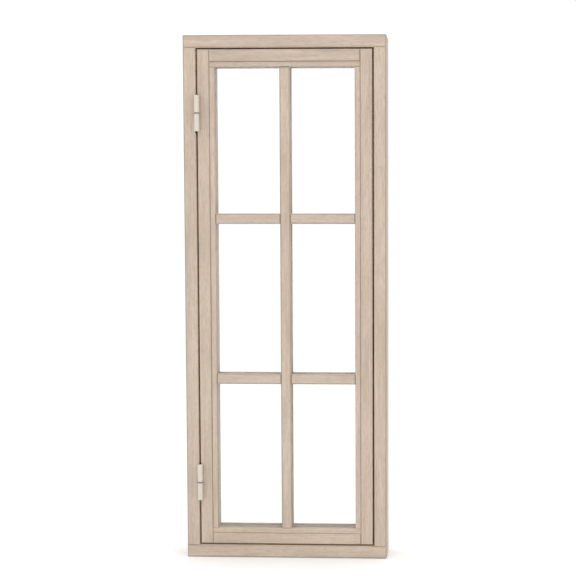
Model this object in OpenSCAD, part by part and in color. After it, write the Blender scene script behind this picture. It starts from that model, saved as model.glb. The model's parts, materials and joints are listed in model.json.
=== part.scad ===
// Outward-opening timber casement window, side-hung on the left, with six lights.
// Axes: +X right, +Z up, -Y outdoors. Origin: centre of the sill's underside.
// "Depth" is the distance behind the frame's outdoor face.

/* [Frame] */
// Overall width of the frame
frame_w = 490; // [400:1:900]
// Overall height of the frame
frame_h = 1270; // [1000:1:1600]
// Depth of the frame through the wall
frame_d = 92; // [92:1:130]
// Width of the frame's outdoor face
frame_face = 30.5; // [26:0.5:45]
// How far the frame's stop laps over the sash
stop_lap = 11; // [9:0.5:13]
// Diameter of the wall fixing holes in the jambs
fixing_hole_d = 8; // [6:0.5:12]
// Distance of the fixing holes from the frame's top and bottom
fixing_inset = 160; // [120:1:250]
// Depth of the fixing holes behind the outdoor face
fixing_depth = 72; // [66:0.5:80]

/* [Sash] */
// Gap between sash and frame
gap = 3.5; // [3:0.1:5]
// How far the sash lies behind the frame's outdoor face
sash_setback = 1.5; // [0:0.1:4]
// Thickness of the sash
sash_t = 44; // [40:0.5:54]
// Face width of the stiles and the top rail
stile_face = 29; // [26:0.5:45]
// Face width of the bottom rail
bottom_rail_face = 27; // [25:0.5:45]
// Thickness of the sash's lip behind the glass
lip_t = 9; // [8:0.5:14]
// Chamfer on the stiles' back outer corner, which lets the sash swing out
swing_chamfer = 2; // [1:0.5:4]
// Thickness of the rail tenons
tenon_t = 12; // [8:0.5:14]
// Height of the rail tenons
tenon_h = 18; // [12:0.5:20]
// Length of the rail tenons
tenon_l = 16; // [12:0.5:17]
// Diameter of the dowels through the tenons
dowel_d = 6; // [5:0.5:8]
// How far the dowels run on past the tenons
dowel_past = 2; // [1:0.5:6]
// Radius of the drip groove under the bottom rail
drip_r = 2.5; // [1.5:0.5:3]

/* [Glazing] */
// Thickness of each glass pane
glass_t = 4; // [3:0.5:6]
// Width of the cavity between the panes
cavity_t = 12; // [9:0.5:14]
// Thickness of the glazing tapes
tape_t = 1.5; // [1:0.1:3]
// Width of the glazing tapes
tape_w = 7; // [5:0.5:8]
// Free space round the glass in its rebate
edge_gap = 4; // [3:0.5:5]
// Width of the edge sealant
sealant_w = 3; // [2:0.5:4]
// Width of the spacer frame between the panes
spacer_w = 6.5; // [5:0.5:7]
// Length of the setting blocks
block_l = 80; // [50:1:100]
// Distance of the setting blocks' middle from the glass edge
block_inset = 70; // [60:1:120]

/* [Beads and muntins] */
// Face width of the glazing beads
bead_face = 13.5; // [12:0.5:18]
// How far beads and muntins lie behind the sash's face
bead_setback = 2; // [1:0.1:4]
// Chamfer on the beads and muntins
bead_chamfer = 1.2; // [0.5:0.1:2.5]
// Front height of the bottom bead below its rounded nose
nose_h = 7.5; // [5:0.5:10]
// Radius of the bottom bead's nose
nose_r = 4; // [2:0.5:5]
// Slope of the bottom bead's top
weathering = 8; // [4:1:15]
// Face width of the muntins
muntin_face = 25; // [20:0.5:35]
// Clear height of the middle row of lights
middle_light_h = 364.5; // [250:0.5:450]
// How far the room-side muntins lie behind the sash's back face
inner_setback = 1; // [0.5:0.1:3]
// Width of the bars between the panes
cavity_bar_w = 18; // [10:0.5:20]
// Diameter of the bead pins
pin_d = 1.4; // [1:0.1:2]
// Length of the bead pins
pin_l = 24; // [18:1:26]
// Spacing of the bead pins from the bead ends
pin_inset = 60; // [40:1:150]

/* [Weatherstrip] */
// Space between the sash's back and the frame's stop
seal_gap = 3; // [2.5:0.1:5]
// Clearance left in front of the seal
seal_clear = 0.2; // [0.1:0.1:0.5]
// Width of the seal
seal_w = 6; // [5:0.5:8]
// Radius of the seal's bulb
bulb_r = 1.6; // [1.2:0.1:2]
// Width of the seal's kerf
kerf_w = 3; // [2:0.5:4]
// Depth of the seal's kerf
kerf_depth = 5; // [4:0.5:8]

/* [Hinges] */
// Distance of the hinge centres from the frame's top and bottom
hinge_inset = 187; // [140:1:250]
// Diameter of the hinge knuckles
knuckle_d = 12.5; // [11:0.5:16]
// Height of one knuckle and its leaf
knuckle_h = 42; // [35:1:55]
// Space between the knuckles
hinge_split = 2.5; // [2:0.1:4]
// Thickness of the washer between the knuckles
washer_t = 2.4; // [1.8:0.1:3]
// How far the washer stands out past the knuckles
washer_rim = 0.7; // [0.3:0.1:1.5]
// Diameter of the hinge pins
hinge_pin_d = 6; // [5:0.5:8]
// Length of a hinge pin in each knuckle
hinge_pin_l = 28; // [20:1:32]
// Thickness of the hinge leaves
leaf_t = 2.5; // [2:0.1:3]
// Depth of the hinge leaves behind the frame's face
leaf_depth = 30; // [24:1:36]
// Run-out of the leaf recess past the leaf's end
recess_run = 3; // [1:0.5:5]
// Space between the washers and the frame's face
washer_stand = 0.2; // [0.1:0.1:1]
// Diameter of the hinge screws
hinge_screw_d = 4; // [3:0.5:4.5]
// Length of the hinge screws
hinge_screw_l = 25; // [16:1:26]

/* [Espagnolette] */
// Height of the espagnolette's spindle above the sill's underside
latch_z = 600; // [450:1:750]
// Space between the keeps and the lock jamb's stop
latch_clear = 3; // [2.5:0.1:4]
// Distance of the rods' middle behind the sash
rod_stand = 10; // [9:0.5:12]
// Diameter of the rods
rod_d = 7; // [6:0.5:8]
// Width of the case
case_w = 26; // [25:0.5:27]
// Height of the case
case_h = 136; // [134:1:150]
// Height of the case above the sash
case_t = 20; // [18:0.5:22]
// Wall of the case
case_wall = 2.5; // [2:0.5:3]
// Thickness of the backplate
backplate_t = 2; // [1.5:0.5:3]
// Length of the lever from the spindle to its tip's middle
lever_l = 105; // [80:1:130]
// Diameter of the lever's hub
hub_d = 18; // [16:0.5:19]
// Thickness of the lever's arm
lever_t = 7; // [5:0.5:9]
// Size of the square spindle
spindle_s = 5; // [4:0.5:5]
// Depth of the keeps
keep_d = 20; // [18:0.5:24]
// Free space round a rod in its keep's square opening
keep_play = 1; // [0.6:0.1:1.5]
// Space between a drawn-back rod and its keep
tip_gap = 3; // [2.5:0.5:4]
// Diameter of the espagnolette's screws
latch_screw_d = 3; // [2.5:0.5:3.5]

/* [Fits] */
// Clearance round screws, dowels, tenons and leaves in one body
fit = 0.1; // [0.05:0.05:0.2]
// Running clearance of pins, rods and journals
run = 0.07; // [0.03:0.01:0.1]
// Backlash of the rack teeth
backlash = 0.3; // [0.2:0.05:0.4]

/* [Hidden] */
$fn = 48;
eps = 0.01;

wood = [0.80, 0.73, 0.66];
cream = [0.87, 0.83, 0.78];
steel = [0.72, 0.73, 0.74];
black = [0.12, 0.12, 0.12];

// Frame and sash outlines
frame_t = frame_face + gap + stop_lap;
rebate_d = sash_setback + sash_t + seal_gap;
sash_w = frame_w - 2 * (frame_face + gap);
sash_z0 = frame_face + gap;
sash_z1 = frame_h - frame_face - gap;
sash_back = sash_setback + sash_t;
stile_w = stile_face + bead_face;
rebate_x = sash_w / 2 - stile_face;
sight_x = sash_w / 2 - stile_w;
rail_top_z = sash_z1 - stile_face;
rail_bottom_z = sash_z0 + bottom_rail_face;
sight_z0 = sash_z0 + stile_w;
sight_z1 = sash_z1 - stile_w;

// Depths of the glazing, from the outdoor face inwards
bead_front = sash_setback + bead_setback;
lip_front = sash_back - lip_t;
inner_pane = lip_front - tape_t - glass_t;
cavity_front = inner_pane - cavity_t;
outer_pane = cavity_front - glass_t;
bead_t = outer_pane - tape_t - bead_front;
bottom_bead_t = bead_t + bead_setback;
bottom_bead_h = nose_h + nose_r + (bottom_bead_t - nose_r) * tan(weathering);

// Rail tenons
tenon_depth = sash_setback + (sash_t - lip_t) / 2;
dowel_l = sash_back - tenon_depth + tenon_t / 2 + dowel_past;
tenon_heights = [rail_top_z + stile_face / 2, sash_z0 + bottom_rail_face / 2];

// Glass outline
glass_x = rebate_x - edge_gap;
glass_z0 = rail_bottom_z + edge_gap;
glass_z1 = rail_top_z - edge_gap;
row_offset = (middle_light_h + muntin_face) / 2;
spacer_in = sealant_w + spacer_w;
tape_lap = 0.7;

// Frame corner screws
corner_screw_d = 5;
corner_screw_l = 90;
corner_head_d = 10;
corner_head_h = 3;
corner_depths = [24, frame_d - 20];

// Weatherstrip
seal_line = frame_t - stop_lap / 2;
seal_h = seal_gap - seal_clear;
seal_lip = 1;
seal_short = 0.5;

// Hinges
knuckle_r = knuckle_d / 2;
knuckle_chamfer = 0.8;
// The frame's leaf runs straight off the side of its knuckle
axis_shift = knuckle_r - leaf_t - gap / 2;
frame_leaf_x = -gap / 2 - axis_shift;
sash_leaf_x = gap / 2 - axis_shift;
hinge_x = -(frame_w / 2 - frame_face - gap / 2) + axis_shift;
hinge_lead = knuckle_r + washer_rim + washer_stand;
hinge_heights = [hinge_inset, frame_h - hinge_inset];
hinge_screw_head = 7.5;
leaf_screws = [[10, -13], [18, 0], [10, 13]];

// Drive: a ten-tooth pinion between two racks
mod = 1.2;
teeth = 10;
pressure = 25;
pitch_r = mod * teeth / 2;
addendum = 0.8 * mod;
dedendum = 1.1 * mod;
tooth_pitch = PI * mod;
travel = pitch_r * PI;
pinion_w = 8;
journal_r = 4.5;
rack_bar_t = 3;
rack_low = travel + 1.5 * tooth_pitch;
rack_teeth = floor(rack_low / tooth_pitch - 0.5);
rack_high = rack_low + 3;
rack_block_h = 6;
rod_r = rod_d / 2;
keep_w = 28;
latch_x = frame_w / 2 - frame_t - latch_clear - keep_w / 2;
rod_depth = sash_back + rod_stand;
cavity_w = 2 * (pitch_r + dedendum + rack_bar_t + 0.7);
case_end = 12;
case_screw_x = case_w / 2 - 4;
case_screw_z = case_h / 2 - case_end / 2;
case_screw_l = case_t + 7;
latch_head_d = 5.6;
spindle_grip = 9;
grub_d = 4;
hub_stand = 1;
hub_h = 12;
hub_front = sash_back + case_t + hub_stand;
lever_tip_d = 14;
keep_h = travel - tip_gap + 2;
keep_opening = rod_d + 2 * keep_play;
upper_tip = frame_h - frame_t - keep_h - tip_gap;
lower_tip = frame_t + keep_h + tip_gap;
tip_chamfer = 1;
guide_w = 28;
guide_h = 14;
guide_block_w = 14;
guide_plate_t = 2;
guide_screw_l = 9;
guide_heights = [
    lower_tip + 50, (lower_tip + latch_z) / 2, (upper_tip + latch_z) / 2, upper_tip - 50
];
keep_front = rebate_d + 0.5;
keep_screw_l = 30;
keep_screw_x = 10;

// Depth behind the outdoor face to Y
function at(depth) = depth - frame_d / 2;

// A box given by its limits across, in depth and in height
module bar(x0, x1, d0, d1, z0, z1) {
    translate([x0, at(d0), z0]) cube([x1 - x0, d1 - d0, z1 - z0]);
}

// A rectangular ring: outer and inner limits, and its depths
module ring(x, z0, z1, wx, w0, w1, d0, d1) {
    difference() {
        bar(-x, x, d0, d1, z0, z1);
        bar(-x + wx, x - wx, d0 - 1, d1 + 1, z0 + w0, z1 - w1);
    }
}

// Extrudes a (depth, height) profile along X, from x0 to x1
module run_x(x0, x1, depth, z) {
    translate([x0, at(depth), z]) rotate([90, 0, 90]) linear_extrude(x1 - x0) children();
}

// A countersunk screw along +Z with its head's face at 0; grow turns it into its hole
module screw(d, l, head_d, grow = 0) {
    head_h = (head_d - d) / 2;
    cylinder(d1 = head_d + 2 * grow, d2 = d + 2 * grow, h = head_h);
    cylinder(d = d + 2 * grow, h = l + grow);
    if (grow > 0) translate([0, 0, -1]) cylinder(d = head_d + 2 * grow, h = 1 + eps);
}

// Mirrors the bottom end to the top end
module at_head() {
    translate([0, 0, frame_h]) mirror([0, 0, 1]) children();
}

/* Frame */

module corner_screw_set(grow = 0) {
    for (side = [-1, 1], depth = corner_depths)
        translate([side * (frame_w / 2 - frame_face / 2), at(depth), 0]) {
            translate([0, 0, corner_head_h])
                cylinder(d = corner_screw_d + 2 * grow, h = corner_screw_l - corner_head_h + grow);
            translate([0, 0, grow > 0 ? -1 : 0.5])
                cylinder(d = corner_head_d + 2 * grow, h = corner_head_h + (grow > 0 ? 1 : -0.5));
        }
}

module seal_kerfs() {
    line_x = frame_w / 2 - seal_line;
    for (side = [-1, 1])
        bar(side * line_x - kerf_w / 2, side * line_x + kerf_w / 2, rebate_d - 1,
            rebate_d + kerf_depth, seal_line - seal_w / 2, frame_h - seal_line + seal_w / 2);
    for (z = [seal_line, frame_h - seal_line])
        bar(-line_x - seal_w / 2, line_x + seal_w / 2, rebate_d - 1, rebate_d + kerf_depth,
            z - kerf_w / 2, z + kerf_w / 2);
}

module cross_member() {
    difference() {
        union() {
            bar(-frame_w / 2, frame_w / 2, 0, rebate_d, 0, frame_face);
            bar(-frame_w / 2, frame_w / 2, rebate_d, frame_d, 0, frame_t);
        }
        seal_kerfs();
        corner_screw_set(fit);
        keep_screw_pair(fit);
    }
}

module jamb() {
    difference() {
        union() {
            bar(-frame_w / 2, -frame_w / 2 + frame_face, 0, rebate_d, frame_face, frame_h - frame_face);
            bar(-frame_w / 2, -frame_w / 2 + frame_t, rebate_d, frame_d, frame_t, frame_h - frame_t);
        }
        seal_kerfs();
        corner_screw_set(fit);
        at_head() corner_screw_set(fit);
        for (z = [fixing_inset, frame_h - fixing_inset])
            translate([-frame_w / 2 - 1, at(fixing_depth), z])
                rotate([0, 90, 0]) cylinder(d = fixing_hole_d, h = frame_t + 2);
    }
}

module frame_head() {
    color(wood) at_head() cross_member();
}

module frame_sill() {
    color(wood) cross_member();
}

module frame_jamb_hinge() {
    color(wood) difference() {
        jamb();
        for (z = hinge_heights) translate([hinge_x, at(0) - hinge_lead, z]) {
            frame_leaf_recess();
            frame_leaf_screws(fit);
        }
    }
}

module frame_jamb_lock() {
    color(wood) mirror([1, 0, 0]) jamb();
}

module frame_corner_screws() {
    color(steel) {
        corner_screw_set();
        at_head() corner_screw_set();
    }
}

// Depth across, width up: stem in the kerf, lips on the stop, bulb towards the sash
module seal_profile() {
    translate([-seal_lip, -kerf_w / 2 + fit]) square([seal_lip + kerf_depth - seal_short, kerf_w - 2 * fit]);
    translate([-seal_lip, -seal_w / 2]) square([seal_lip, seal_w]);
    translate([-seal_h + bulb_r, 0]) circle(r = bulb_r);
}

module frame_weatherstrip() {
    line_x = frame_w / 2 - seal_line;
    color(black) {
        for (z = [seal_line, frame_h - seal_line])
            run_x(-line_x - seal_w / 2, line_x + seal_w / 2, rebate_d, z) seal_profile();
        for (side = [-1, 1])
            translate([side * line_x, at(rebate_d), seal_line + seal_w / 2])
                linear_extrude(frame_h - 2 * seal_line - seal_w) rotate(90) seal_profile();
    }
}

/* Hinges: drawn about their own axis, with the split between the knuckles at 0 */

module knuckle(z0, bore_d) {
    difference() {
        translate([0, 0, z0]) {
            cylinder(r1 = knuckle_r - knuckle_chamfer, r2 = knuckle_r, h = knuckle_chamfer);
            translate([0, 0, knuckle_chamfer]) cylinder(r = knuckle_r, h = knuckle_h - 2 * knuckle_chamfer);
            translate([0, 0, knuckle_h - knuckle_chamfer])
                cylinder(r1 = knuckle_r, r2 = knuckle_r - knuckle_chamfer, h = knuckle_chamfer);
        }
        cylinder(d = bore_d, h = 2 * (hinge_split / 2 + hinge_pin_l) + 4 * run, center = true);
    }
}

module leaf_plate(x0, z0, bore_d) {
    difference() {
        translate([x0, 0, z0]) cube([leaf_t, hinge_lead + leaf_depth, knuckle_h]);
        cylinder(d = bore_d, h = 2 * (hinge_split / 2 + hinge_pin_l) + 4 * run, center = true);
    }
}

module frame_leaf_recess() {
    translate([frame_leaf_x - leaf_t - fit, 0, -hinge_split / 2 - knuckle_h - recess_run])
        cube([leaf_t + fit + 1, hinge_lead + leaf_depth + fit, knuckle_h + recess_run + fit]);
}

module sash_leaf_recess() {
    translate([sash_leaf_x - 1, 0, hinge_split / 2 - fit])
        cube([leaf_t + fit + 1, hinge_lead + leaf_depth + fit, knuckle_h + recess_run + fit]);
}

module frame_leaf_screws(grow = 0) {
    for (p = leaf_screws)
        translate([frame_leaf_x, hinge_lead + p[0], -hinge_split / 2 - knuckle_h / 2 + p[1]])
            rotate([0, -90, 0]) screw(hinge_screw_d, hinge_screw_l, hinge_screw_head, grow);
}

module sash_leaf_screws(grow = 0) {
    for (p = leaf_screws)
        translate([sash_leaf_x, hinge_lead + p[0], hinge_split / 2 + knuckle_h / 2 + p[1]])
            rotate([0, 90, 0]) screw(hinge_screw_d, hinge_screw_l, hinge_screw_head, grow);
}

module at_hinges(heights = hinge_heights) {
    for (z = heights) translate([hinge_x, at(0) - hinge_lead, z]) children();
}

module frame_leaf(z) {
    z0 = -hinge_split / 2 - knuckle_h;
    color(cream) at_hinges([z]) difference() {
        union() {
            knuckle(z0, hinge_pin_d);
            leaf_plate(frame_leaf_x - leaf_t, z0, hinge_pin_d);
        }
        frame_leaf_screws(fit);
    }
}

module sash_leaf(z) {
    z0 = hinge_split / 2;
    color(cream) at_hinges([z]) difference() {
        union() {
            knuckle(z0, hinge_pin_d + 2 * run);
            leaf_plate(sash_leaf_x, z0, hinge_pin_d + 2 * run);
        }
        sash_leaf_screws(fit);
    }
}

module hinge_pins() {
    color(steel) at_hinges() cylinder(d = hinge_pin_d, h = hinge_split + 2 * hinge_pin_l, center = true);
}

module hinge_washers() {
    color(steel) at_hinges() translate([0, 0, -hinge_split / 2]) difference() {
        cylinder(r = knuckle_r + washer_rim, h = washer_t);
        translate([0, 0, -1]) cylinder(d = hinge_pin_d + 2 * run, h = washer_t + 2);
    }
}

module hinge_frame_screws() {
    color(steel) at_hinges() frame_leaf_screws();
}

module hinge_sash_screws() {
    color(steel) at_hinges() sash_leaf_screws();
}

/* Sash */

module tenons(z, grow = 0) {
    for (side = [-1, 1])
        translate([side * (rebate_x + tenon_l / 2), at(tenon_depth), z])
            cube([tenon_l + 2 * grow, tenon_t + 2 * grow, tenon_h + 2 * grow], center = true);
}

module dowels(grow = 0) {
    for (side = [-1, 1], z = tenon_heights)
        translate([side * (rebate_x + tenon_l / 2), at(sash_back + grow), z])
            rotate([90, 0, 0]) cylinder(d = dowel_d + 2 * grow, h = dowel_l + 2 * grow);
}

// The hinge stile's outline, shared by both stiles
module stile() {
    difference() {
        translate([-sash_w / 2, at(sash_setback), sash_z0]) linear_extrude(sash_z1 - sash_z0)
            polygon([
                [0, 0], [stile_face, 0], [stile_face, sash_t - lip_t], [stile_w, sash_t - lip_t],
                [stile_w, sash_t], [swing_chamfer, sash_t], [0, sash_t - swing_chamfer]
            ]);
        for (z = tenon_heights) tenons(z, fit);
        dowels(fit);
        bead_pin_set(fit);
    }
}

module sash_stile_hinge() {
    color(wood) difference() {
        stile();
        at_hinges() {
            sash_leaf_recess();
            sash_leaf_screws(fit);
        }
    }
}

module sash_stile_lock() {
    color(wood) difference() {
        mirror([1, 0, 0]) stile();
        latch_screw_set(fit);
        guide_screw_set(fit);
    }
}

// A rail's body between the stiles, from its outer edge at z0 to its face and sight edges
module rail(z0, z_face, z_sight) {
    bar(-rebate_x, rebate_x, sash_setback, lip_front, min(z0, z_face), max(z0, z_face));
    bar(-sight_x, sight_x, lip_front, sash_back, min(z0, z_sight), max(z0, z_sight));
}

module sash_rail_top() {
    color(wood) difference() {
        union() {
            rail(sash_z1, rail_top_z, sight_z1);
            tenons(tenon_heights[0]);
        }
        dowels(fit);
        bead_pin_set(fit);
    }
}

module sash_rail_bottom() {
    color(wood) difference() {
        union() {
            rail(sash_z0, rail_bottom_z, sight_z0);
            tenons(tenon_heights[1]);
        }
        dowels(fit);
        bead_pin_set(fit);
        translate([-rebate_x - 1, at(sash_setback + 3 * drip_r), sash_z0])
            rotate([0, 90, 0]) cylinder(r = drip_r, h = 2 * rebate_x + 2);
    }
}

module sash_dowels() {
    color(wood) dowels();
}

/* Glass */

module glass_outer() {
    color([0.8, 0.9, 0.9, 0.3]) bar(-glass_x, glass_x, outer_pane, cavity_front, glass_z0, glass_z1);
}

module glass_inner() {
    color([0.8, 0.9, 0.9, 0.3])
        bar(-glass_x, glass_x, inner_pane, inner_pane + glass_t, glass_z0, glass_z1);
}

module glass_spacer() {
    color(steel) ring(glass_x - sealant_w, glass_z0 + sealant_w, glass_z1 - sealant_w,
        spacer_w, spacer_w, spacer_w, cavity_front, inner_pane);
}

module glass_sealant() {
    color(black) ring(glass_x, glass_z0, glass_z1, sealant_w, sealant_w, sealant_w,
        cavity_front, inner_pane);
}

// Bars between the panes, behind the muntins and 1 mm clear of both panes
module cavity_bars() {
    x_end = glass_x - spacer_in;
    half = cavity_bar_w / 2;
    color(steel) {
        bar(-half, half, cavity_front + 1, inner_pane - 1, glass_z0 + spacer_in, glass_z1 - spacer_in);
        for (row = [-1, 1], side = [0, 1]) mirror([side, 0, 0])
            bar(half, x_end, cavity_front + 1, inner_pane - 1,
                frame_h / 2 + row * row_offset - half, frame_h / 2 + row * row_offset + half);
    }
}

// Two blocks carry the glass, two more centre it near the top
module setting_blocks() {
    color(black) for (side = [-1, 1]) {
        middle = side * (glass_x - block_inset);
        bar(middle - block_l / 2, middle + block_l / 2, outer_pane, lip_front,
            rail_bottom_z, glass_z0);
        bar(side > 0 ? glass_x : -rebate_x, side > 0 ? rebate_x : -glass_x, outer_pane, lip_front,
            glass_z1 - block_inset - block_l / 2, glass_z1 - block_inset + block_l / 2);
    }
}

module tape(z0, front) {
    x = sight_x + tape_lap + tape_w;
    color(black) ring(x, z0 - tape_w, sight_z1 + tape_lap + tape_w, tape_w, tape_w, tape_w,
        front, front + tape_t);
}

module tape_outer() {
    tape(rail_bottom_z + bottom_bead_h - tape_lap, bead_front + bead_t);
}

module tape_inner() {
    tape(sight_z0 - tape_lap, inner_pane + glass_t);
}

/* Beads */

// Depth across, height up from the bottom rail's face
module bottom_bead_profile() {
    square([bottom_bead_t, nose_h]);
    translate([nose_r, nose_h]) circle(r = nose_r);
    polygon([[nose_r, 0], [bottom_bead_t, 0], [bottom_bead_t, bottom_bead_h], [nose_r, nose_h + nose_r]]);
}

// The bottom bead, with tail the extra depth that trims what stands on it
module bottom_bead_bar(tail = 0) {
    run_x(-rebate_x, rebate_x, sash_setback, rail_bottom_z) {
        bottom_bead_profile();
        if (tail > 0) translate([bottom_bead_t - eps, 0]) square([tail, bottom_bead_h]);
    }
}

module bead_pin_set(grow = 0) {
    pin_depth = bead_front + bead_t / 2;
    pin_step = (rail_top_z - rail_bottom_z - 2 * pin_inset) / 3;
    r = pin_d / 2 + grow;
    for (side = [0, 1], i = [0:3]) mirror([side, 0, 0])
        translate([-sight_x - 1, at(pin_depth), rail_bottom_z + pin_inset + i * pin_step])
            rotate([0, -90, 0]) cylinder(r = r, h = pin_l + grow);
    for (i = [-1:1]) {
        x = i * (rebate_x - pin_inset);
        translate([x, at(pin_depth), sight_z1 + 1]) cylinder(r = r, h = pin_l + grow);
        translate([x, at(pin_depth), rail_bottom_z + nose_h + 1 - pin_l - grow])
            cylinder(r = r, h = pin_l + grow);
    }
}

module bead_top() {
    color(wood) difference() {
        run_x(-rebate_x, rebate_x, bead_front, rail_top_z) polygon([
            [0, 0], [bead_t, 0], [bead_t, -bead_face], [bead_chamfer, -bead_face],
            [0, -bead_face + bead_chamfer]
        ]);
        bead_pin_set(fit);
        translate([0, 0, -2]) bead_pin_set(fit);
    }
}

module side_bead() {
    difference() {
        translate([-rebate_x, at(bead_front), rail_bottom_z + nose_h])
            linear_extrude(sight_z1 - rail_bottom_z - nose_h) polygon([
                [0, 0], [bead_face - bead_chamfer, 0], [bead_face, bead_chamfer],
                [bead_face, bead_t], [0, bead_t]
            ]);
        bottom_bead_bar();
        bead_pin_set(fit);
        translate([2, 0, 0]) bead_pin_set(fit);
    }
}

module bead_hinge_side() {
    color(wood) side_bead();
}

module bead_lock_side() {
    color(wood) mirror([1, 0, 0]) side_bead();
}

module bead_bottom() {
    color(wood) difference() {
        bottom_bead_bar();
        bead_pin_set(fit);
        translate([0, 0, nose_r]) bead_pin_set(fit);
    }
}

module bead_pins() {
    color(steel) bead_pin_set();
}

/* Muntins: bonded to the glass, outdoors and on the room side */

outer_muntin_t = outer_pane - bead_front;
inner_muntin_t = sash_back - inner_setback - inner_pane - glass_t;

// Across, then depth from the face
function muntin_profile(t) = [
    [-muntin_face / 2, t], [-muntin_face / 2, bead_chamfer], [-muntin_face / 2 + bead_chamfer, 0],
    [muntin_face / 2 - bead_chamfer, 0], [muntin_face / 2, bead_chamfer], [muntin_face / 2, t]
];

module muntin_outer_vertical() {
    color(wood) difference() {
        translate([0, at(bead_front), rail_bottom_z + nose_h])
            linear_extrude(sight_z1 - rail_bottom_z - nose_h) polygon(muntin_profile(outer_muntin_t));
        bottom_bead_bar(2 * tape_t);
    }
}

module muntin_inner_vertical() {
    color(wood) translate([0, at(sash_back - inner_setback), sight_z0])
        linear_extrude(sight_z1 - sight_z0) mirror([0, 1]) polygon(muntin_profile(inner_muntin_t));
}

// A short bar from the vertical muntin to a bead or stile; column and row are -1 or 1
module muntin_row(column, row, inside = false) {
    z = frame_h / 2 + row * row_offset;
    x0 = muntin_face / 2;
    t = inside ? inner_muntin_t : outer_muntin_t;
    depth = inside ? sash_back - inner_setback : bead_front;
    color(wood) mirror([column < 0 ? 1 : 0, 0, 0])
        run_x(x0, sight_x, depth, z) mirror([inside ? 1 : 0, 0])
            polygon([for (p = muntin_profile(t)) [p[1], p[0]]]);
}

/* Espagnolette */

module case_screws_at() {
    for (side = [-1, 1], end = [-1, 1])
        translate([latch_x + side * case_screw_x, at(sash_back + case_t), latch_z + end * case_screw_z])
            rotate([90, 0, 0]) children();
}

module latch_screw_set(grow = 0) {
    case_screws_at() screw(latch_screw_d, case_screw_l, latch_head_d, grow);
}

module guide_screw_set(grow = 0) {
    for (z = guide_heights, side = [-1, 1])
        translate([latch_x + side * (guide_w + guide_block_w) / 4, at(sash_back + guide_plate_t), z])
            rotate([90, 0, 0]) screw(latch_screw_d, guide_screw_l, latch_head_d, grow);
}

// A cylinder through the room-side depth at the spindle, from depth d0 to d1 behind the sash
module on_spindle(r, d0, d1) {
    translate([latch_x, at(sash_back + d0), latch_z])
        rotate([-90, 0, 0]) cylinder(r = r, h = d1 - d0);
}

module on_rod_line(r, z0, z1) {
    translate([latch_x, at(rod_depth), z0]) cylinder(r = r, h = z1 - z0);
}

module latch_backplate() {
    color(steel) difference() {
        bar(latch_x - case_w / 2, latch_x + case_w / 2, sash_back, sash_back + backplate_t,
            latch_z - case_h / 2, latch_z + case_h / 2);
        on_spindle(journal_r + run, -1, backplate_t + 1);
        latch_screw_set(fit);
    }
}

module latch_case() {
    color(steel) difference() {
        bar(latch_x - case_w / 2, latch_x + case_w / 2, sash_back + backplate_t, sash_back + case_t,
            latch_z - case_h / 2, latch_z + case_h / 2);
        bar(latch_x - cavity_w / 2, latch_x + cavity_w / 2, sash_back + backplate_t - 1,
            sash_back + case_t - case_wall, latch_z - case_h / 2 + case_end, latch_z + case_h / 2 - case_end);
        on_spindle(journal_r + run, case_t - case_wall - 1, case_t + 1);
        on_rod_line(rod_r + run, latch_z - case_h, latch_z + case_h);
        latch_screw_set(fit);
    }
}

module latch_case_screws() {
    color(steel) latch_screw_set();
}

module rod_guides() {
    color(steel) for (z = guide_heights) difference() {
        union() {
            bar(latch_x - guide_w / 2, latch_x + guide_w / 2, sash_back, sash_back + guide_plate_t,
                z - guide_h / 2, z + guide_h / 2);
            bar(latch_x - guide_block_w / 2, latch_x + guide_block_w / 2, sash_back,
                rod_depth + rod_r + 1.5, z - guide_h / 2, z + guide_h / 2);
        }
        on_rod_line(rod_r + run, z - guide_h, z + guide_h);
        guide_screw_set(fit);
    }
}

module rod_guide_screws() {
    color(steel) guide_screw_set();
}

// Involute of the base circle: the polar angle lost between the base circle and radius r
function inv(r, base) = let (a = acos(min(1, base / r))) tan(a) * 180 / PI - a;

// One side of a tooth centred on +X, from root to tip
function flank(side, root, base, tip) =
    let (half = (tooth_pitch - backlash) / 4 / pitch_r * 180 / PI + inv(pitch_r, base))
    [for (r = [root, for (k = [0:6]) base + (tip - base) * k / 6])
        let (a = side * (half - (r < base ? 0 : inv(r, base)))) [r * cos(a), r * sin(a)]];

module pinion_profile() {
    base = pitch_r * cos(pressure);
    root = pitch_r - dedendum;
    tip = pitch_r + addendum;
    down = flank(-1, root, base, tip);
    up = flank(1, root, base, tip);
    circle(r = root);
    for (k = [0:teeth - 1]) rotate(k * 360 / teeth)
        polygon(concat([[0, 0]], down, [for (i = [len(up) - 1:-1:0]) up[i]]));
}

module drive_pinion() {
    hole = spindle_s + 2 * fit;
    color(steel) difference() {
        union() {
            translate([latch_x, at(rod_depth), latch_z]) rotate([90, 0, 0])
                linear_extrude(pinion_w, center = true) pinion_profile();
            on_spindle(journal_r, run, case_t + hub_stand / 2);
        }
        translate([latch_x, at(rod_depth), latch_z]) cube([hole, 4 * case_t, hole], center = true);
    }
}

// The pitch line lies at pitch_r to the right of the pinion's axis
module rack_profile() {
    half = (tooth_pitch - backlash) / 4;
    root_x = pitch_r + dedendum;
    translate([root_x, -rack_low]) square([rack_bar_t, rack_low + rack_high]);
    root_half = half + dedendum * tan(pressure);
    tip_half = half - addendum * tan(pressure);
    for (k = [-rack_teeth:1]) translate([0, (k + 0.5) * tooth_pitch]) polygon([
        [root_x + eps, -root_half], [pitch_r - addendum, -tip_half],
        [pitch_r - addendum, tip_half], [root_x + eps, root_half]
    ]);
}

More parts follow.
